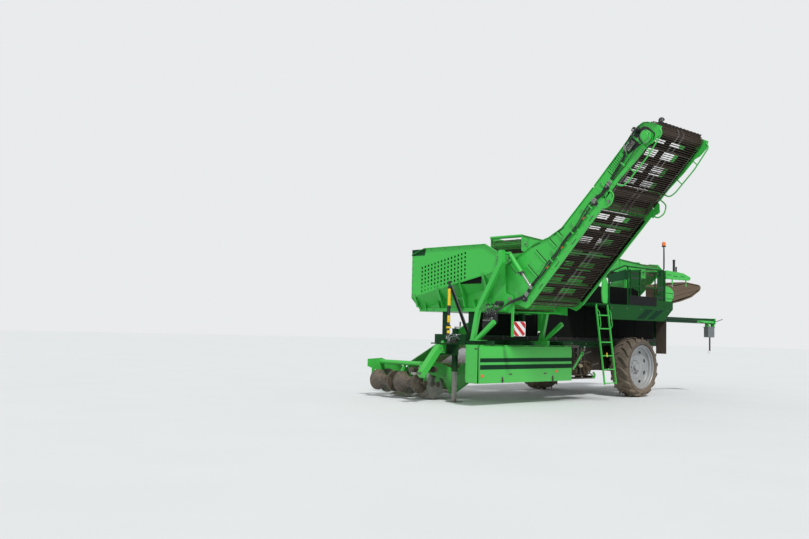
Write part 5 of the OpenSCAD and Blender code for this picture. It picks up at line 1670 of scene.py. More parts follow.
@dataclass(frozen=True)
class Platform:
    """The picking platform: side panel, toe board, rails, guards, grating and console."""

    face: float = 1.2
    deck: float = 2.14

    def build(self) -> None:
        """Make what is added to the platform's solid."""
        y, z = self.face, self.deck
        flags = []
        for low_front, low_rear, top_front, top_rear in ((-6.01, -6.32, -6.41, -6.75), (-6.49, -6.75, -6.88,
            -7.23)):
            flags.append(plate([(low_front, 1.83), (low_rear, 1.83), (top_rear, 2.065), (top_front, 2.065)], 0.0015,
                along(y + 0.0015)))
        parts = [dress(flags, STRIPE)]
        parts.append(dress(block((-6.87, y, 2.15), (-5.68, y + 0.008, 2.37), 0.003), RUBBER_AND_SHADE))
        bars = [block((x, 0.2, z), (x + 0.012, y - 0.012, z + 0.008), 0) for x in (-7.61 + 0.06 * k
            for k in range(56))]
        bars += [block((-7.62, v, z), (-4.27, v + 0.006, z + 0.01), 0) for v in (0.4, 0.66, 0.92)]
        hem = [block((-7.21, y - 0.04, 1.796), (-4.9, y, 1.802), 0.001),
            plate(ribbon([(-4.9, 1.8), (-4.9, 2.1)], 0.006), 0.03, along(y))]
        parts.append(dress(bars + hem, DARK_GREEN))
        rails = [tube([(-5.68, y - 0.03, 2.16), (-5.68, y - 0.03, 3.04), (-5.6, y - 0.05, 3.06),
            (-4.95, y - 0.05, 2.86), (-4.91, y - 0.03, 2.8), (-4.91, y - 0.03, 2.16)], 0.017, 0.07, sides=12),
            tube([(-7.25, y - 0.03, 2.6), (-7.25, y - 0.03, 3.04), (-7.25, y - 0.12, 3.06), (-7.25, 1.06, 2.9)],
            0.015, 0.06, sides=12)]
        rails += [bar((x, y - 0.03, z), (x, y - 0.03, z + 0.012), 0.045, 20, 0.002) for x in (-4.92, -5.68, -7.25)]
        parts.append(dress(rails, DARK_GREEN))
        slots = [block((-6.395, 1.062, h), (-5.95, 1.0635, h + 0.026), 0) for h in (2.78, 2.89)]
        slots += [block((-7.5, 1.062, h), (-7.15, 1.0635, h + 0.03), 0) for h in (2.36, 2.55, 2.61)]
        parts.append(dress(slots, BLACK))
        sheets = [plate([(-5.7, 2.72), (-5.9, 2.8), (-5.9, 3.0), (-5.7, 2.94)], 0.004, along(1.1)),
            plate([(-4.93, 2.62), (-5.66, 2.74), (-5.66, 2.98), (-4.93, 2.8)], 0.004, along(1.14))]
        parts.append(dress(sheets, DARK_GREEN))
        # Black sheets behind the platform: painted shade
        parts.append(dress([block((-6.1, 0.3, 2.15), (-5.0, 0.304, 2.6), 0.001),
            block((-7.5, 0.3, 2.15), (-6.2, 0.304, 2.62), 0.001)], SHADOW_BLACK))
        leaf = [(-4.7, 2.15), (-4.87, 2.15), (-4.9, 2.4), (-4.89, 2.58), (-4.83, 2.7), (-4.74, 2.74), (-4.69, 2.62),
            (-4.67, 2.38)]
        edge = [(p.x, p.y) for p in rounded(leaf, 0.05)]
        wings = [plate(rounded(leaf, 0.05), 0.006, along(1.155), 0.002),
            plate(ribbon([*edge, edge[0]], 0.006), 0.03, along(1.165), 0.001)]
        parts.append(dress(wings, GREEN))
        heads = bolt_heads([((x, y, 2.06), Y_WAY) for x in (-5.0, -5.6, -6.2, -6.95, -7.4)]
            + [((x, 1.062, h), Y_WAY) for x in (-5.958, -6.382) for h in (2.7, 2.96)] + [((x, 1.062, h), Y_WAY)
            for x in (-7.16, -7.48) for h in (2.3, 2.96)], 0.01)
        stand("platform_fittings", [*parts, heads], DARK_GREEN, "root")
        self.console()
        self.beacon()

    def console(self) -> None:
        """Make the operator's console in place of its solid node."""
        x1, x2, y1, y2 = -6.25, -5.95, 0.25, 0.41
        shell = [block((x1, y1, 3.16), (x2, y2, 3.62), 0.012),
            plate(rounded([(y1, 3.6), (y2, 3.6), (y2, 3.7), (y2 - 0.04, 3.86), (y1, 3.86)], 0.012), x2 - x1,
            across(x1), 0.003)]
        hood = block((x1 - 0.01, y1 - 0.002, 3.855), (x2 + 0.01, y2 + 0.02, 3.868), 0.003)
        screen = block((x1 + 0.04, y2 - 0.006, 3.66), (x2 - 0.04, y2 + 0.001, 3.8), 0.002)
        keys = [bar((x1 + 0.06 + 0.036 * k, y2, 3.56 - 0.04 * j),
            (x1 + 0.06 + 0.036 * k, y2 + 0.01, 3.56 - 0.04 * j), 0.011, 12, 0.002) for k in range(6)
            for j in range(2)]
        stick = [bar((x1 + 0.15, y2 - 0.01, 3.42), (x1 + 0.15, y2 + 0.05, 3.45), 0.007, 8),
            bar((x1 + 0.15, y2 + 0.045, 3.447), (x1 + 0.15, y2 + 0.075, 3.462), 0.018, 16, 0.006)]
        stop = bar((x1 + 0.06, y2, 3.4), (x1 + 0.06, y2 + 0.02, 3.4), 0.02, 20, 0.006)
        parts = [dress(shell, DARK_GREEN), dress([hood, *stick], BLACK), dress(screen, LENS), dress(keys, GREY_BOX),
            dress(stop, RED_SHEET)]
        parts.append(hose([(x1 + 0.1, y2 - 0.04, 3.17), (x1 + 0.1, y2 - 0.03, 3.0), (x1 + 0.05, 0.3, 2.4),
            (x1 + 0.05, 0.3, 2.15)], 0.012, 0.1))
        stand("console_dressed", parts, DARK_GREEN, "root", "console")

    def beacon(self) -> None:
        """Make the amber beacon on its pole in place of its solid node."""
        x, y = -7.25, self.face - 0.03
        pole = [bar((x, y, 3.057), (x, y, 3.63), 0.015, 16), bar((x, y, 3.62), (x, y, 3.652), 0.05, 24, 0.005),
            tube([(x, y + 0.015, 3.6), (x, y + 0.02, 3.3), (x, y + 0.018, 3.07)], 0.005, 0.05)]
        dome = spun([(0.001, 3.65), (0.046, 3.652), (0.047, 3.69), (0.044, 3.692), (0.046, 3.7), (0.043, 3.722),
            (0.034, 3.74), (0.02, 3.748), (0.001, 3.75)], moved(x, y, 0), 32)
        stand("beacon_dressed", [dress(dome, AMBER), dress(pole, BLACK)], AMBER, "root", "beacon")


@dataclass(frozen=True)
class Ladder:
    """The boarding ladder, written along its lean from its hinge down."""

    front: float = -4.32
    width: float = 0.46
    lean: float = 8.0
    hinge: Pair = (1.23, 2.12)

    def build(self) -> None:
        """Make the ladder in place of its solid node."""
        long = (self.hinge[1] - 0.36) / cos(radians(self.lean))
        place = moved(self.front - self.width, *self.hinge) @ turned("X", self.lean)
        w = self.width
        metal = []
        for x in (0, w - 0.025):
            side = rect(-0.02, -long, 0.02, 0.0)
            metal.append(plate(rounded(side, 0.012), 0.025, across(x), 0.004))
        teeth = []
        for i in range(6):
            z = -long + 0.012 + i * 0.3
            metal.append(plate(ribbon([(-0.02, z + 0.005), (-0.02, z + 0.025), (0.02, z + 0.025),
                (0.02, z + 0.005)][::-1], 0.003), w - 0.05, across(0.025)))
            for k in range(9):
                teeth.append(bar((0.06 + 0.042 * k, -0.008 + 0.016 * (k % 2), z + 0.024),
                    (0.06 + 0.042 * k, -0.008 + 0.016 * (k % 2), z + 0.03), 0.01, 8, 0.003))
        hook = [bar((-0.04, 0, 0), (w + 0.04, 0, 0), 0.014, 16),
            bar((-0.044, 0, 0), (-0.036, 0, 0), 0.024, 16, 0.002),
            bar((w + 0.036, 0, 0), (w + 0.044, 0, 0), 0.024, 16, 0.002)]
        loops = [tube([(x, 0.02, -0.55), (x, 0.07, -0.5), (x, 0.07, -0.18), (x, 0.02, -0.12)], 0.009, 0.04)
            for x in (0.012, w - 0.012)]
        clip = dress(block((0.25, 0.016, -long + 0.6), (0.285, 0.026, -long + 0.69), 0.002), YELLOW_SLEEVE)
        parts = [dress(metal + loops, GREEN), dress(teeth, GREEN), dress(hook, DARK_GREEN), clip]
        stand("ladder_dressed", parts, GREEN, "boarding_ladder", "ladder", place=place)


# Rear


@dataclass(frozen=True)
class TrashConveyor:
    """The short muddy belt that throws haulm off the rear, with its guards."""

    right: float = 0.35
    left: float = 1.05
    loop: tuple[Pair, ...] = ((-7.76, 2.24), (-8.3, 2.33), (-8.8, 2.45), (-9.23, 2.64), (-9.29, 2.72),
        (-9.23, 2.79), (-8.55, 2.83), (-7.76, 2.72))
    rollers: tuple[Pair, ...] = ((-7.87, 2.48), (-9.18, 2.71))

    def build(self) -> None:
        """Make the conveyor in place of its solid node."""
        stand("haulm_conveyor", [*self.belt(), *self.guards()], WEB, "root", "trash_conveyor")

    def belt(self) -> list[Piece]:
        """Make the belt with its cleats, the muddy side sheet and the rollers.

        Returns:
            The muddy part and the rollers.
        """
        path = [(p.x, p.y) for p in rounded(self.loop, 0.09)]
        wide = self.left - self.right - 0.01
        band = plate(ribbon([*path, path[0]], -0.024), wide, along(self.left - 0.005))
        cleats = []
        for (x1, z1), (x2, z2) in zip(self.loop, [*self.loop[1:], self.loop[0]]):
            run = Vector((x2 - x1, z2 - z1))
            count = int(run.length / 0.11)
            side = Vector((-run.y, run.x)).normalized()
            for k in range(count):
                foot = Vector((x1, z1)) + run * (k + 0.5) / count - side * 0.002
                cleats.append(bar((foot.x, self.right + 0.03, foot.y), (foot.x, self.left - 0.03, foot.y), 0.009,
                    6))
        inner = rounded([(-7.82, 2.3), (-8.78, 2.5), (-9.18, 2.67), (-9.23, 2.72), (-9.18, 2.755), (-8.55, 2.79),
            (-7.82, 2.68)], 0.06)
        sides = [plate(inner, 0.006, along(y)) for y in (self.left - 0.012, self.right + 0.016)]
        mud = dress([band, *cleats, *sides], MUDDY_BELT)
        steel = [bar((x, self.right + 0.002, z), (x, self.left - 0.002, z), 0.066, 28, 0.004)
            for x, z in self.rollers]
        return [mud, dress(steel, WEB)]

    def guards(self) -> list[Piece]:
        """Make the frame bars, the round guard, the upper guard and the post.

        Returns:
            The parts.
        """
        y = self.left
        (x1, z1), (x2, z2) = self.rollers
        run = Vector((x2 - x1, z2 - z1)).normalized() * 0.045
        side = Vector((-run.y, run.x))
        rail = [(x1 - run.x - side.x, z1 - run.y - side.y), (x2 + run.x - side.x, z2 + run.y - side.y),
            (x2 + run.x + side.x, z2 + run.y + side.y), (x1 - run.x + side.x, z1 - run.y + side.y)]
        muddy = [plate(rail, 0.008, along(y), 0.001), plate(rail, 0.008, along(self.right + 0.008), 0.001)]
        green = []
        disc = [(-7.54, 2.25), (-7.54, 2.68), (-7.78, 2.65), (-7.91, 2.56), (-7.93, 2.46), (-7.86, 2.34),
            (-7.74, 2.26)]
        cover = [(-7.56, 2.86), (-8.7, 2.88), (-8.77, 2.95), (-8.4, 3.04), (-7.56, 3.07)]
        for outline in (disc, cover):
            green.append(plate(rounded(outline, 0.05), 0.008, along(y + 0.002), 0.002))
            edge = [(p.x, p.y) for p in rounded(outline, 0.05)]
            green.append(plate(ribbon([*edge, edge[0]], 0.006), 0.024, along(y - 0.002), 0.001))
        green += [block((x, y - 0.026, 2.71), (x + 0.04, y - 0.006, 2.9), 0.004) for x in (-7.9, -8.56)]
        green += [tube([(-7.6, y - 0.03, 2.96), (-7.6, y - 0.3, 3.06), (-7.6, self.right, 3.06)], 0.016, 0.08),
            tube([(-8.5, y - 0.03, 2.98), (-8.5, y - 0.3, 3.02), (-8.5, self.right, 3.02)], 0.016, 0.08)]
        slots = [block((x, y + 0.002, z), (x + 0.2, y + 0.003, z + 0.014), 0)
            for x, z in ((-8.1, 2.94), (-8.45, 2.95), (-7.8, 2.96))]
        slots += [block((-7.9, y + 0.002, z), (-7.56, y + 0.003, z + 0.016), 0) for z in (2.36, 2.5)]
        post = [block((-8.2, self.right, 1.38), (-8.12, self.right + 0.1, 2.34), 0.004),
            block((-8.24, self.right - 0.02, 1.38), (-8.08, self.right + 0.12, 1.39), 0.002)]
        heads = bolt_heads([((x, y + 0.002, z), Y_WAY) for x, z in ((-7.6, 2.3), (-7.6, 2.62), (-7.86, 2.46),
            (-7.6, 2.9), (-8.2, 2.92), (-8.7, 2.93))] + [((-8.22 + 0.12 * k, self.right + 0.05, 1.39), Z_WAY)
            for k in range(2)], 0.01)
        stack = [bar((-8.05, 0.98, 3.06), (-8.05, 0.98, 3.35), 0.03, 20, 0.004),
            bar((-8.05, 0.98, 3.34), (-8.05, 0.98, 3.37), 0.036, 20, 0.004),
            bar((-8.16, 0.98, 3.05), (-8.16, 0.98, 3.2), 0.02, 16, 0.003),
            block((-8.22, 0.9, 3.02), (-7.98, 1.04, 3.06), 0.006)]
        return [dress(green, GREEN), dress(muddy, MUDDY_BELT), dress(slots, DARK_GREEN), dress(post, DARK_GREEN),
            heads, dress(stack, BLACK)]


@dataclass(frozen=True)
class RearArm:
    """The arm that carries the grey box and the thin post behind the platform."""

    rear: float = -9.78
    front: float = -7.1
    middle: float = 1.875

    def build(self) -> None:
        """Make the arm in place of its solid node."""
        h, half, end = self.middle, 0.045, self.rear
        hollow = rounded(rect(1.08, h - 0.085, 1.16, h + half), 0.012)
        arm = [plate(hollow, self.front - end, across(end), 0), block((self.front - 0.08, 0.34, h - half),
            (self.front, 1.16, h + half), 0.008),
            plate(rounded([(1.0, h - half), (1.18, h - half), (1.18, h - 0.03), (1.03, h - 0.03)], 0.01), 0.01,
            across(self.front - 0.37))]
        # The arm's dark green is painted shade over its bright green paint; the flap below is dusty rubber
        dark = [dress(arm, DARK_GREEN)]
        dark.append(dress(block((-7.37, 0.9, 1.01), (-7.352, 1.18, 1.83), 0.004), DUSTY_FLAP))
        # The end plate and its lugs are bright green paint; the thin green sheets along the end's side and top are
        # painted light where the arm's end is lit
        bright = [plate(rounded(rect(1.02, h - 0.1, 1.2, h + 0.055), 0.015), 0.02, across(end), 0.003),
            block((end, 1.06, h - 0.19), (end + 0.02, 1.17, h - 0.08), 0.003), block((end + 0.3, 1.06, h - 0.19),
            (end + 0.32, 1.17, h - 0.08), 0.003), block((end + 0.02, 1.16, h - 0.07), (end + 0.9, 1.166, h - 0.01),
            0.002), block((end + 0.02, 1.06, h + 0.045), (end + 0.5, 1.16, h + 0.05), 0.001)]
        grey = [block((end + 0.02, 1.04, h - 0.44), (end + 0.34, 1.18, h - 0.17), 0.012),
            block((end + 0.01, 1.032, h - 0.19), (end + 0.35, 1.188, h - 0.165), 0.005),
            block((end + 0.05, 1.18, h - 0.3), (end + 0.31, 1.184, h - 0.29), 0.001)]
        rod = [bar((end + 0.17, 1.12, h - 0.8), (end + 0.17, 1.12, h - 0.43), 0.02, 16, 0.003),
            tube([(end + 0.02, 1.16, h - 0.02), (end + 0.02, 1.24, h - 0.02), (end + 0.02, 1.4, h + 0.04)], 0.008,
            0.05)]
        tips = [bar((end + 0.125 + 0.09 * k, 1.12, h - 0.86), (end + 0.125 + 0.09 * k, 1.12, h - 0.79), 0.022, 12,
            0.004) for k in range(2)]
        tips.append(bar((end + 0.11, 1.12, h - 0.8), (end + 0.23, 1.12, h - 0.8), 0.014, 8))
        heads = bolt_heads([((end, y, z), (-1, 0, 0)) for y in (1.05, 1.17) for z in (h - 0.06, h + 0.03)]
            + [((end + x, 1.18, h - 0.41), Y_WAY) for x in (0.06, 0.3)], 0.009)
        cable = hose([(end + 0.2, 1.13, h - 0.16), (end + 0.3, 1.172, h - 0.12), (-8.9, 1.172, h - 0.02),
            (-7.6, 1.172, h - 0.01), (-7.3, 1.17, h)], 0.007, 0.1)
        stand("rear_arm_dressed", [*dark, dress(bright, GREEN), dress(grey, GREY_BOX), dress(rod, BLACK),
            dress(tips, BOARD), heads, cable], DARK_GREEN, "root", "rear_arm")


@dataclass(frozen=True)
class DriveUnit:
    """Pulleys, belt, tensioner and levers behind the long box."""

    front: float = -3.56
    rear: float = -4.52
    wheels: tuple[tuple[float, float, float], ...] = ((-4.3, 0.15, 0.7), (-3.85, 0.095, 0.64))

    def build(self) -> None:
        """Make the unit in place of its solid node."""
        base = [block((self.rear, 0.62, 0.47), (self.front, 1.1, 0.49), 0.003),
            plate(ribbon([(self.rear, 0.49), (self.rear, 0.53)], -0.006), 0.46, along(1.09)),
            block((self.rear + 0.07, 0.46, 1.13), (self.front - 0.08, 0.7, 1.19), 0.005)]
        for x in (self.rear + 0.07, self.front - 0.14):
            base.append(block((x, 0.64, 0.49), (x + 0.06, 0.7, 1.15), 0.005))
        for x, _, z in self.wheels:
            base.append(plate(rounded([(x - 0.055, 0.49), (x + 0.055, 0.49), (x + 0.045, z + 0.05),
                (x - 0.045, z + 0.05)], 0.02), 0.05, along(0.85), 0.003))
        base += [bar((-4.0, 1.02, 0.98), (-4.46, 1.02, 1.06), 0.014, 12),
            bar((-4.42, 1.06, 0.76), (-4.7, 1.06, 0.8), 0.012, 12),
            bar((-4.14, 0.98, 0.5), (-4.08, 0.99, 1.0), 0.02, 12),
            bar((-3.9, 1.0, 1.02), (-4.2, 1.04, 1.12), 0.018, 12)]
        pulleys = []
        for x, r, z in self.wheels:
            profile = [(0.03, 0), (r - 0.02, 0), (r, 0.006)]
            for k in range(3):
                profile += [(r, 0.016 + 0.03 * k), (r - 0.018, 0.024 + 0.03 * k), (r - 0.018, 0.028 + 0.03 * k),
                    (r, 0.036 + 0.03 * k)]
            profile += [(r, 0.11), (r - 0.02, 0.116), (r - 0.024, 0.07), (0.05, 0.07), (0.05, 0.13), (0.03, 0.13)]
            pulleys.append(spun(profile, moved(x, 0.93, z) @ turned("X", -90), 40))
            pulleys.append(bar((x, 0.78, z), (x, 1.075, z), 0.028, 20, 0.004))
        (ax, ar, az), (bx, br, bz) = self.wheels
        belt = [tube([(ax - ar - 0.004, y, az), (ax - 0.06, y, az + ar + 0.002), (ax + 0.06, y, az + ar - 0.004),
            (bx + 0.03, y, bz + br + 0.012), (bx + br + 0.003, y, bz), (bx + 0.02, y, bz - br - 0.003),
            (ax + 0.06, y, az - ar + 0.002), (ax - 0.06, y, az - ar - 0.002)], 0.009, 0.07, True)
            for y in (0.956, 0.986, 1.016)]
        lever = [plate(rounded([(-3.66, 0.66), (-3.62, 0.69), (-3.93, 1.02), (-3.99, 0.99)], 0.02), 0.014,
            along(1.14), 0.003), tube([(-4.47, 1.08, 0.6), (-4.52, 1.09, 0.56), (-4.51, 1.09, 0.5),
            (-4.42, 1.08, 0.485)], 0.022, 0.04, sides=12)]
        ring = spun(rect(0.026, -0.012, 0.044, 0.012), moved(-3.98, 1.13, 1.02) @ turned("X", -90), 28)
        rods = [bar((-3.6, 1.1, 0.66), (-3.9, 1.1, 1.0), 0.017, 16, 0.003),
            bar((-3.58, 1.1, 0.62), (-3.62, 1.1, 0.7), 0.03, 16, 0.004),
            tube([(-3.98, 1.1, 1.03), (-4.06, 1.1, 1.1), (-4.12, 1.08, 1.16), (-4.2, 1.04, 1.17)], 0.01, 0.04),
            tube([(-4.0, 1.12, 0.98), (-4.12, 1.12, 0.9), (-4.15, 1.12, 0.7), (-4.2, 1.12, 0.62)], 0.008, 0.06)]
        silver = [bar((-4.06, 1.1, 1.08), (-4.1, 1.1, 1.1), 0.02, 12, 0.003),
            bar((-4.12, 1.08, 1.13), (-4.14, 1.08, 1.17), 0.022, 12, 0.003),
            bar((-4.26, 1.08, 0.62), (-4.44, 1.09, 0.54), 0.016, 12, 0.003),
            bar((-4.0, 1.12, 0.535), (-4.0, 1.12, 0.5), 0.014, 12, 0.003)]
        knob = spun([(0.002, -0.05), (0.03, -0.045), (0.045, -0.01), (0.042, 0.02), (0.02, 0.045), (0.002, 0.05)],
            moved(-3.97, 1.09, 0.76) @ turned("Y", 70), 24)
        heads = bolt_heads([((x, 1.1, 0.48), Y_WAY) for x in (-3.65, -3.9, -4.15, -4.4)]
            + [((x + 0.03, 0.7, z), Y_WAY) for x in (self.rear + 0.07, self.front - 0.14) for z in (1.1, 1.16)]
            + [((-3.68, 1.14, 0.69), Y_WAY), ((-3.8, 1.14, 0.83), Y_WAY)], 0.01)
        stand("side_drive", [dress(base + rods, BLACK), dress(pulleys, WEB), dress(belt, BELT),
            dress([*lever, ring], GREEN), dress(silver, STEEL), dress(knob, BEIGE), heads], BLACK, "root",
            "drive_unit")


@dataclass(frozen=True)
class Underside:
    """Black sheets and dark rubber curtains that stand in for the shade between the long beams and the platforms,
    as painted shade, and the lines along the frame.
    """

    def build(self) -> None:
        """Make the black sheets and curtains under the platform, which are painted shade, and what runs along the
        frame.
        """
        y = 0.466
        # Black sheets, with dark strips at their joints and edges: painted shade under the platform
        joints = (-3.5, -4.2, -5.0, -5.6, -6.35, -7.1, -7.92)
        sheets = [block((x2 + 0.006, y, 1.355), (x1 - 0.006, y + 0.004, 2.095), 0.001)
            for x1, x2 in zip(joints, joints[1:])]
        sheets += [block((x - 0.012, y - 0.002, 1.35), (x + 0.012, y + 0.012, 2.095), 0.003) for x in joints[1:-1]]
        sheets += [block((joints[-1], y + 0.002, z), (joints[0], y + 0.014, z + 0.03), 0.003) for z in (1.36, 2.05)]
        sheets += [block((-3.42, 0.3, 1.3), (-1.45, 0.304, 1.84), 0.001),
            block((-1.46, 0.29, 1.385), (-1.42, 0.32, 1.845), 0.002),
            block((-3.45, 0.29, 1.385), (-3.41, 0.32, 1.845), 0.002)]
        # Dark rubber curtains under the long beam: painted shade
        shade = [block((x, 0.47, 0.62 + 0.02 * (k % 2)), (x + 0.36, 0.476, 1.18), 0.001)
            for k, x in enumerate(-5.6 + 0.37 * i for i in range(6))]
        shade += [block((x2, 0.32, low), (x1, 0.326, 1.18), 0.001) for x1, x2, low in ((-5.3, -6.18, 0.6),
            (-6.18, -6.42, 0.73), (-6.42, -7.9, 0.75))]
        shade.append(block((-8.12, 0.38, 1.36), (-7.9, 0.386, 2.0), 0.001))
        deep = [dress(sheets, SHADOW_BLACK), dress(shade, RUBBER_AND_SHADE)]
        rail = [block((-5.62, 0.462, 1.14), (-3.36, 0.482, 1.18), 0.002)]
        rail += [block((x, 0.46, 1.14), (x + 0.04, 0.49, 1.2), 0.002) for x in (-5.5, -4.9, -4.3, -3.6)]
        deep.append(dress(rail, DARK_GREEN))
        lines = [hose([(-1.2, 0.475, 1.3 + 0.024 * k), (-3.2, 0.475, 1.31 + 0.024 * k),
            (-5.6, 0.475, 1.3 + 0.024 * k), (-8.1, 0.475, 1.3 + 0.024 * k)], 0.009, 0.3) for k in range(3)]
        lines += [strap((x, 0.46, 1.285), (x + 0.03, 0.49, 1.365))
            for x in (-1.5, -2.1, -2.9, -3.9, -4.7, -5.5, -6.5, -7.4)]
        heads = bolt_heads([((x, 0.46, 1.22), Y_WAY) for x in (-1.1, -2.25, -3.1, -3.4, -4.5, -5.05, -6.2, -6.4,
            -7.2, -7.75, -8.2)] + [((x, 0.46, 1.34), Y_WAY) for x in (-3.1, -5.05, -7.75)], 0.014)
        stand("under_platform_sheets", [*deep, *lines, heads], DARK_GREEN, "root")
        self.tank()

    def tank(self) -> None:
        """Make the tank's cap, sight glass, drain and straps."""
        y = 0.34
        caps = [bar((-3.6, 0.1, 1.36), (-3.6, 0.1, 1.41), 0.05, 24, 0.006),
            bar((-3.8, 0.1, 1.36), (-3.8, 0.1, 1.46), 0.045, 24, 0.01),
            bar((-4.4, -0.05, 1.03), (-4.4, -0.05, 1.0), 0.02, 6, 0.002)]
        straps = [block((x, -0.27, 1.36), (x + 0.05, y - 0.01, 1.364), 0.001) for x in (-3.4, -4.5)]
        gauge = [block((-3.5, y - 0.01, 1.08), (-3.46, y, 1.17), 0.003)]
        stand("tank_fittings", [dress(caps, BLACK), dress(straps, GREY_BOX), dress(gauge, LENS)], BLACK, "root")


# Right side and front


@dataclass(frozen=True)
class Channels:
    """Flanges, ribs, bearings and bolts on the sides of the webs' channels, written along each channel."""

    sides: Pair = (0.45, 2.05)
    wide: float = 0.024

    def build(self) -> None:
        """Dress the two sieving channels, the cross elevator and the picking table."""
        back = turned("Z", 180)
        first = self.channel(self.sides, FIRST_LENGTH, ((0.32, 0.3), (3.27, 0.3)), ((-0.05, -0.15), (3.26, -0.15)),
            (0.6, 1.35, 2.2, 2.95), (0.9, 1.8, 2.6), (-0.1, 0.26))
        stand("first_channel_fittings", first, GREEN, "root",
            place=moved(*FIRST_FOOT) @ back @ turned("Y", -FIRST_SLOPE))
        second = self.channel(self.sides, hypot(*REAR_RUN), ((-0.08, 0.32), (2.96, 0.245)),
            ((-0.08, -0.15), (2.96, -0.15)), (0.45, 1.35, 2.45), (1.0, 2.0), (-0.12, 0.2))
        stand("second_channel_fittings", second, GREEN, "root",
            place=moved(*REAR_FOOT) @ back @ turned("Y", -climb(REAR_RUN)))
        cross = self.channel((8.01, 8.93), hypot(*CROSS_RUN), ((0.22, 0.26), (2.22, 0.26)),
            ((-0.14, -0.17), (2.4, -0.17)), (0.45, 1.1, 1.8), (1.14,), (-0.13, 0.2))
        stand("cross_elevator_fittings", cross, GREEN, "root",
            place=moved(0, *CROSS_FOOT) @ turned("X", climb(CROSS_RUN)) @ turned("Z", 90))
        self.table()

    def channel(self, faces: Pair, long: float, upper: Sequence[Pair], lower: Sequence[Pair], ribs: Sequence[float],
            supports: Sequence[float], span: Pair) -> list[Piece]:
        """Make one channel's fittings. Its frame has X up the channel and Z square to it.

        Args:
            faces: Places of the two outer faces, across the channel.
            long: Distance between the end rollers.
            upper: Ends of the upper edge.
            lower: Ends of the lower edge.
            ribs: Places of the ribs, up the channel.
            supports: Places of the support rollers.
            span: Lower and upper end of a rib.

        Returns:
            The parts.
        """
        green, black, steel, spots = [], [], [], []
        for y, out in zip(faces, (-1, 1)):
            low, high = sorted((y, y + self.wide * out))
            green += [plate(ribbon(edge, 0.006), self.wide, along(high), 0.001) for edge in (upper, lower)]
            low, high = sorted((y, y + 0.016 * out))
            green += [block((u - 0.02, low, span[0]), (u + 0.02, high, span[1]), 0.004) for u in ribs]
            spots += [((u, y + 0.016 * out, v), (0, out, 0)) for u in ribs
                for v in (span[0] + 0.03, span[1] - 0.03)]
            for u, radius in [(0, 0.07), (long, 0.07), *((u, 0.042) for u in supports)]:
                black.append(bar((u, y, 0), (u, y + 0.012 * out, 0), radius, 24, 0.003))
                steel.append(bar((u, y, 0), (u, y + 0.026 * out, 0), radius * 0.35, 12, 0.002))
                spots += [((u + radius * 0.7 * a, y + 0.012 * out, radius * 0.7 * b), (0, out, 0)) for a in (-1, 1)
                    for b in (-1, 1)]
        return [dress(green, GREEN), dress(black, BLACK), dress(steel, STEEL), bolt_heads(spots, 0.008)]

    def table(self) -> None:
        """Dress the picking table: edges, ribs, bearings, the rail down its middle and the hand chutes."""
        (x1, z1), (x2, z2) = (-7.92, 3.06), (-2.93, 3.4)
        green, steel, spots = [], [], []
        for y, out in ((-0.65, -1), (0.25, 1)):
            high = max(y, y + 0.03 * out)
            green.append(plate(ribbon([(x1, z1 + 0.19), (x2, z2 + 0.19)], -0.006), 0.03, along(high), 0.001))
            green.append(plate(ribbon([(x1, z1 - 0.16), (x2, z2 - 0.16)], 0.006), 0.03, along(high), 0.001))
            low, high = sorted((y, y + 0.016 * out))
            for k in range(7):
                x = -7.5 + 0.72 * k
                z = z1 + (x - x1) * (z2 - z1) / (x2 - x1)
                green.append(block((x, low, z - 0.13), (x + 0.035, high, z + 0.16), 0.004))
                spots += [((x + 0.018, y + 0.016 * out, z + v), (0, out, 0)) for v in (-0.1, 0.13)]
            for x, z in ((-7.8, 3.06), (-3.05, 3.4)):
                steel.append(bar((x, y, z), (x, y + 0.045 * out, z), 0.02, 12, 0.002))
                spots += [((x + 0.05 * a, y, z + 0.05 * b), (0, out, 0)) for a in (-1, 1) for b in (-1, 1)]
        rail = plate([(-7.6, 3.2), (-3.3, 3.508), (-3.3, 3.56), (-7.6, 3.252)], 0.006, along(-0.197))
        green += [block((x, -0.642, 3.29 + 0.068 * (x + 7.0)), (x + 0.03, 0.242, 3.3 + 0.068 * (x + 7.0)), 0.002)
            for x in (-7.4, -5.5, -3.5)]
        stand("picking_table_fittings", [dress([*green, rail], GREEN), dress(steel, STEEL),
            bolt_heads(spots, 0.009)], GREEN, "root")


@dataclass(frozen=True)
class RightPlatform:
    """Grating, toe board and rail feet of the pickers' platform on the right."""

    floor: float = 2.14
    edge: float = -1.5

    def build(self) -> None:
        """Make what is added to the platform's solid."""
        z, y = self.floor, self.edge
        bars = [block((x, y + 0.02, z), (x + 0.012, -0.66, z + 0.008), 0) for x in (-7.55 + 0.07 * k
            for k in range(49))]
        bars += [block((-7.56, v, z), (-4.12, v + 0.006, z + 0.01), 0) for v in (-1.3, -1.1, -0.9)]
        bars.append(block((-7.56, y, z), (-4.1, y + 0.006, z + 0.12), 0.001))
        bars += [bar((x, -1.47, z), (x, -1.47, z + 0.014), 0.05, 20, 0.002) for x in (-4.2, -5.8, -7.5)]
        heads = bolt_heads([((x, y, z + h), (0, -1, 0)) for x in (-4.3, -5.2, -6.1, -7.0, -7.5)
            for h in (-0.02, 0.08)], 0.01)
        stand("right_platform_fittings", [dress(bars, DARK_GREEN), heads], DARK_GREEN, "root")


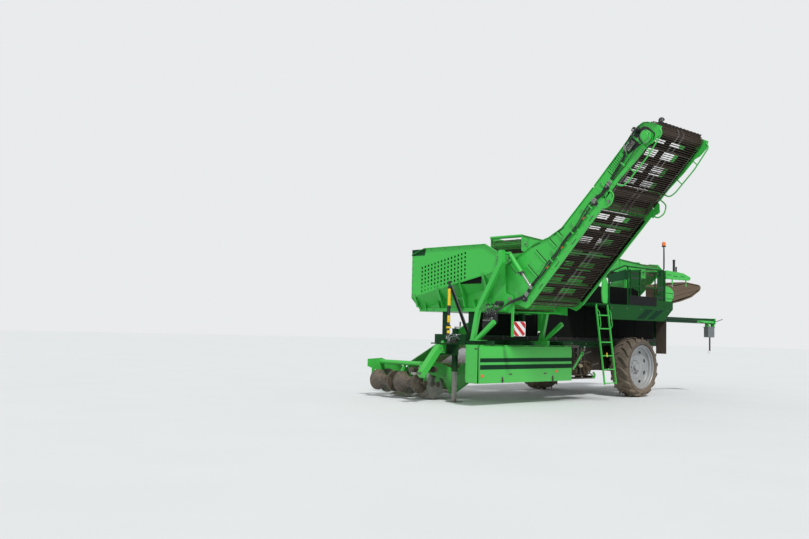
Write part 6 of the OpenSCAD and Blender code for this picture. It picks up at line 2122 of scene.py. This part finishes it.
@dataclass(frozen=True)
class Front:
    """What hangs on the drawbar, the jack and the digger."""

    neck: float = -0.79

    def build(self) -> None:
        """Make the shaft guard, the drawbar's lines, the jack's crank and the digger's fittings."""
        y, z = -0.118, 0.66
        guard = [bar((self.neck + 0.14, y, z), (-0.08, y, z), 0.044, 28, 0.003)]
        for x, way in ((self.neck + 0.13, 1), (-0.07, -1)):
            guard += [bar((x + way * 0.022 * k, y, z), (x + way * (0.022 * k + 0.014), y, z), 0.062 - 0.0025 * k,
                28, 0.004) for k in range(5)]
        chain = tube([(-0.2, y + 0.02, z + 0.044), (-0.22, y + 0.05, z + 0.01), (-0.28, y + 0.05, z - 0.02),
            (-0.31, -0.09, z)], 0.004, 0.02)
        lines = [hose([(self.neck + 0.19, v, 1.115), (-0.5, v, 0.93), (-0.24, v, 0.7)], 0.009, 0.1)
            for v in (-0.03, 0.0, 0.03)]
        lines += [strap((x, -0.05, h), (x + 0.03, 0.05, h + 0.028)) for x, h in ((-0.56, 0.945), (-0.34, 0.765))]
        plates = [bar((self.neck, 0, 1.0), (self.neck, 0, 1.006), 0.088, 32, 0.001)]
        bolts = bolt_heads([((x, side * 0.07, h), (0, side, 0)) for x, h in ((-0.7, 1.03), (-0.66, 1.1))
            for side in (-1, 1)], 0.012)
        stand("drawbar_fittings", [dress(guard, RUBBER_AND_SHADE), dress(chain, STEEL), *lines, dress(plates, GREEN),
            bolts], HOSE, "drawbar_arm")
        jx, jy = -1.115, 0.03
        crank = [bar((jx, jy, 1.495), (jx, jy, 1.54), 0.022, 16, 0.003),
            bar((jx, jy, 1.53), (jx, jy + 0.14, 1.53), 0.009, 12),
            bar((jx, jy + 0.135, 1.525), (jx, jy + 0.135, 1.62), 0.008, 12)]
        grip = bar((jx, jy + 0.135, 1.55), (jx, jy + 0.135, 1.64), 0.015, 16, 0.004)
        cap = [block((jx - 0.052, jy - 0.052, 1.488), (jx + 0.052, jy + 0.052, 1.503), 0.003),
            block((jx - 0.05, jy - 0.05, 0.62), (jx + 0.05, jy + 0.05, 0.64), 0.002)]
        stand("jack_crank", [dress(crank, STEEL), dress(grip, HOSE), dress(cap, DARK_GREEN)], STEEL, "root")
        spots = [((x, -0.427, h), Y_WAY) for x, h in ((-0.62, 0.74), (-0.9, 0.77), (-1.0, 0.6), (-1.3, 0.5),
            (-1.5, 0.25), (-1.72, 0.56))]
        flat_heads = bolt_heads([((x, -2.073, h), (0, -1, 0))
            for x, h in ((-0.62, 0.74), (-0.9, 0.77), (-1.3, 0.5), (-1.72, 0.56))], 0.007)
        caps = [bar((x, -0.427, h), (x, -0.412, h), 0.06, 24, 0.003) for x, h in ((-0.73, 0.36), (-1.095, 0.33))]
        stand("digger_fittings", [bolt_heads(spots, 0.012), flat_heads, dress(caps, BLACK)], STEEL, "digger")


# The machine


PAINTED = {
    GREEN: ("drawbar", "bunker", "bunker_legs", "elevator_frame", "head_frame", "digger_frame", "web_channel",
        "second_channel", "cross_elevator", "picking_frame", "ladder", "side_box", "side_cover", "trash_conveyor"),
    DARK_GREEN: ("main_frame", "jack_sleeve", "left_platform", "right_platform", "console", "oil_tank", "axle",
        "rear_arm"),
    BLACK: ("pto_shaft", "hose_post", "valve_block", "lift_barrels", "ridge_rollers", "beacon", "drive_unit"),
    STEEL: ("towing_eye", "jack_leg", "lift_rods", "shares", "disc_coulters", "knuckle_left", "knuckle_right",
        "tie_rod"),
    LENS: ("head_lamp",),
    BOARD: ("warning_board",),
}


def paint_solids(nodes: dict[str, Piece]) -> None:
    """Give every solid that stays in view its finish.

    Args:
        nodes: The solid nodes by name.
    """
    for slot, names in PAINTED.items():
        for name in names:
            # The left platform's panel is bright green paint, given the green darkened as painted shade
            finish = SHADED_GREEN if name == "left_platform" else FINISHES[slot]
            nodes[name].data.materials.clear()
            nodes[name].data.materials.append(finish.material())


def webs() -> list[RodWeb]:
    """List the machine's webs, with where each one lies.

    Returns:
        The webs.
    """
    lift = GROUND @ Elevator().place
    back = turned("Z", 180)
    wide = 1.554
    inside = moved(0, 0.473 + wide, 0) @ turned("Z", -90)
    four = (0.05, wide / 2 - 0.08, wide / 2 + 0.08, wide - 0.05)
    spread = (0.05, wide / 3, 2 * wide / 3, wide - 0.05)
    return [
        RodWeb("unloading_web", "elevator", "elevator_web", lift @ moved(-2.777, 0.23, -0.245), 2.35, wide, four,
            0.06, pitch=0.042, rod=0.0075),
        RodWeb("unloading_head_web", "elevator_head", "head_web", lift @ moved(-2.777, 2.94, -0.245), 1.29, wide,
            four, 0.06, pitch=0.042, rod=0.0075),
        RodWeb("first_web", "root", "sieving_web",
            GROUND @ moved(*FIRST_FOOT) @ back @ turned("Y", -FIRST_SLOPE) @ inside, FIRST_LENGTH, wide, spread),
        RodWeb("rear_web", "root", "second_web",
            GROUND @ moved(*REAR_FOOT) @ back @ turned("Y", -climb(REAR_RUN)) @ inside, hypot(*REAR_RUN), wide,
            spread),
        RodWeb("climbing_web", "root", "cross_web",
            GROUND @ moved(-8.907, *CROSS_FOOT) @ turned("X", climb(CROSS_RUN)), hypot(*CROSS_RUN), 0.874,
            (0.05, 0.824), 0.07),
        RodWeb("table_web", "root", "picking_web",
            moved(-7.8, 0.227, above(3.06)) @ turned("Y", -climb(TABLE_RUN)) @ turned("Z", -90), hypot(*TABLE_RUN),
            0.854, (0.05, 0.804)),
        RodWeb("bunker_web", "root", "bunker_floor", moved(-2.775, -0.89, above(2.01)), 2.14, 1.55,
            (0.06, 0.775, 1.49)),
    ]


def main() -> None:
    """Load the solids, dress the machine and set it in the studio."""
    logging.basicConfig(level=logging.INFO, format="%(message)s", stream=sys.stdout)
    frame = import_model()
    clear_selection()
    studio = Studio()
    studio.camera()
    studio.light()
    studio.floor()
    paint_solids(frame["nodes"])
    for web in webs():
        web.build()
    for side in ("left", "right"):
        Wheel(side).build()
    Bunker().build()
    Elevator().build()
    LiftCylinders().build()
    SideBox().build()
    HosePost().build()
    FrontValves().build()
    WarningBoard().build()
    Platform().build()
    Ladder().build()
    TrashConveyor().build()
    RearArm().build()
    DriveUnit().build()
    Underside().build()
    Channels().build()
    RightPlatform().build()
    Front().build()


if __name__ == "__main__":
    main()
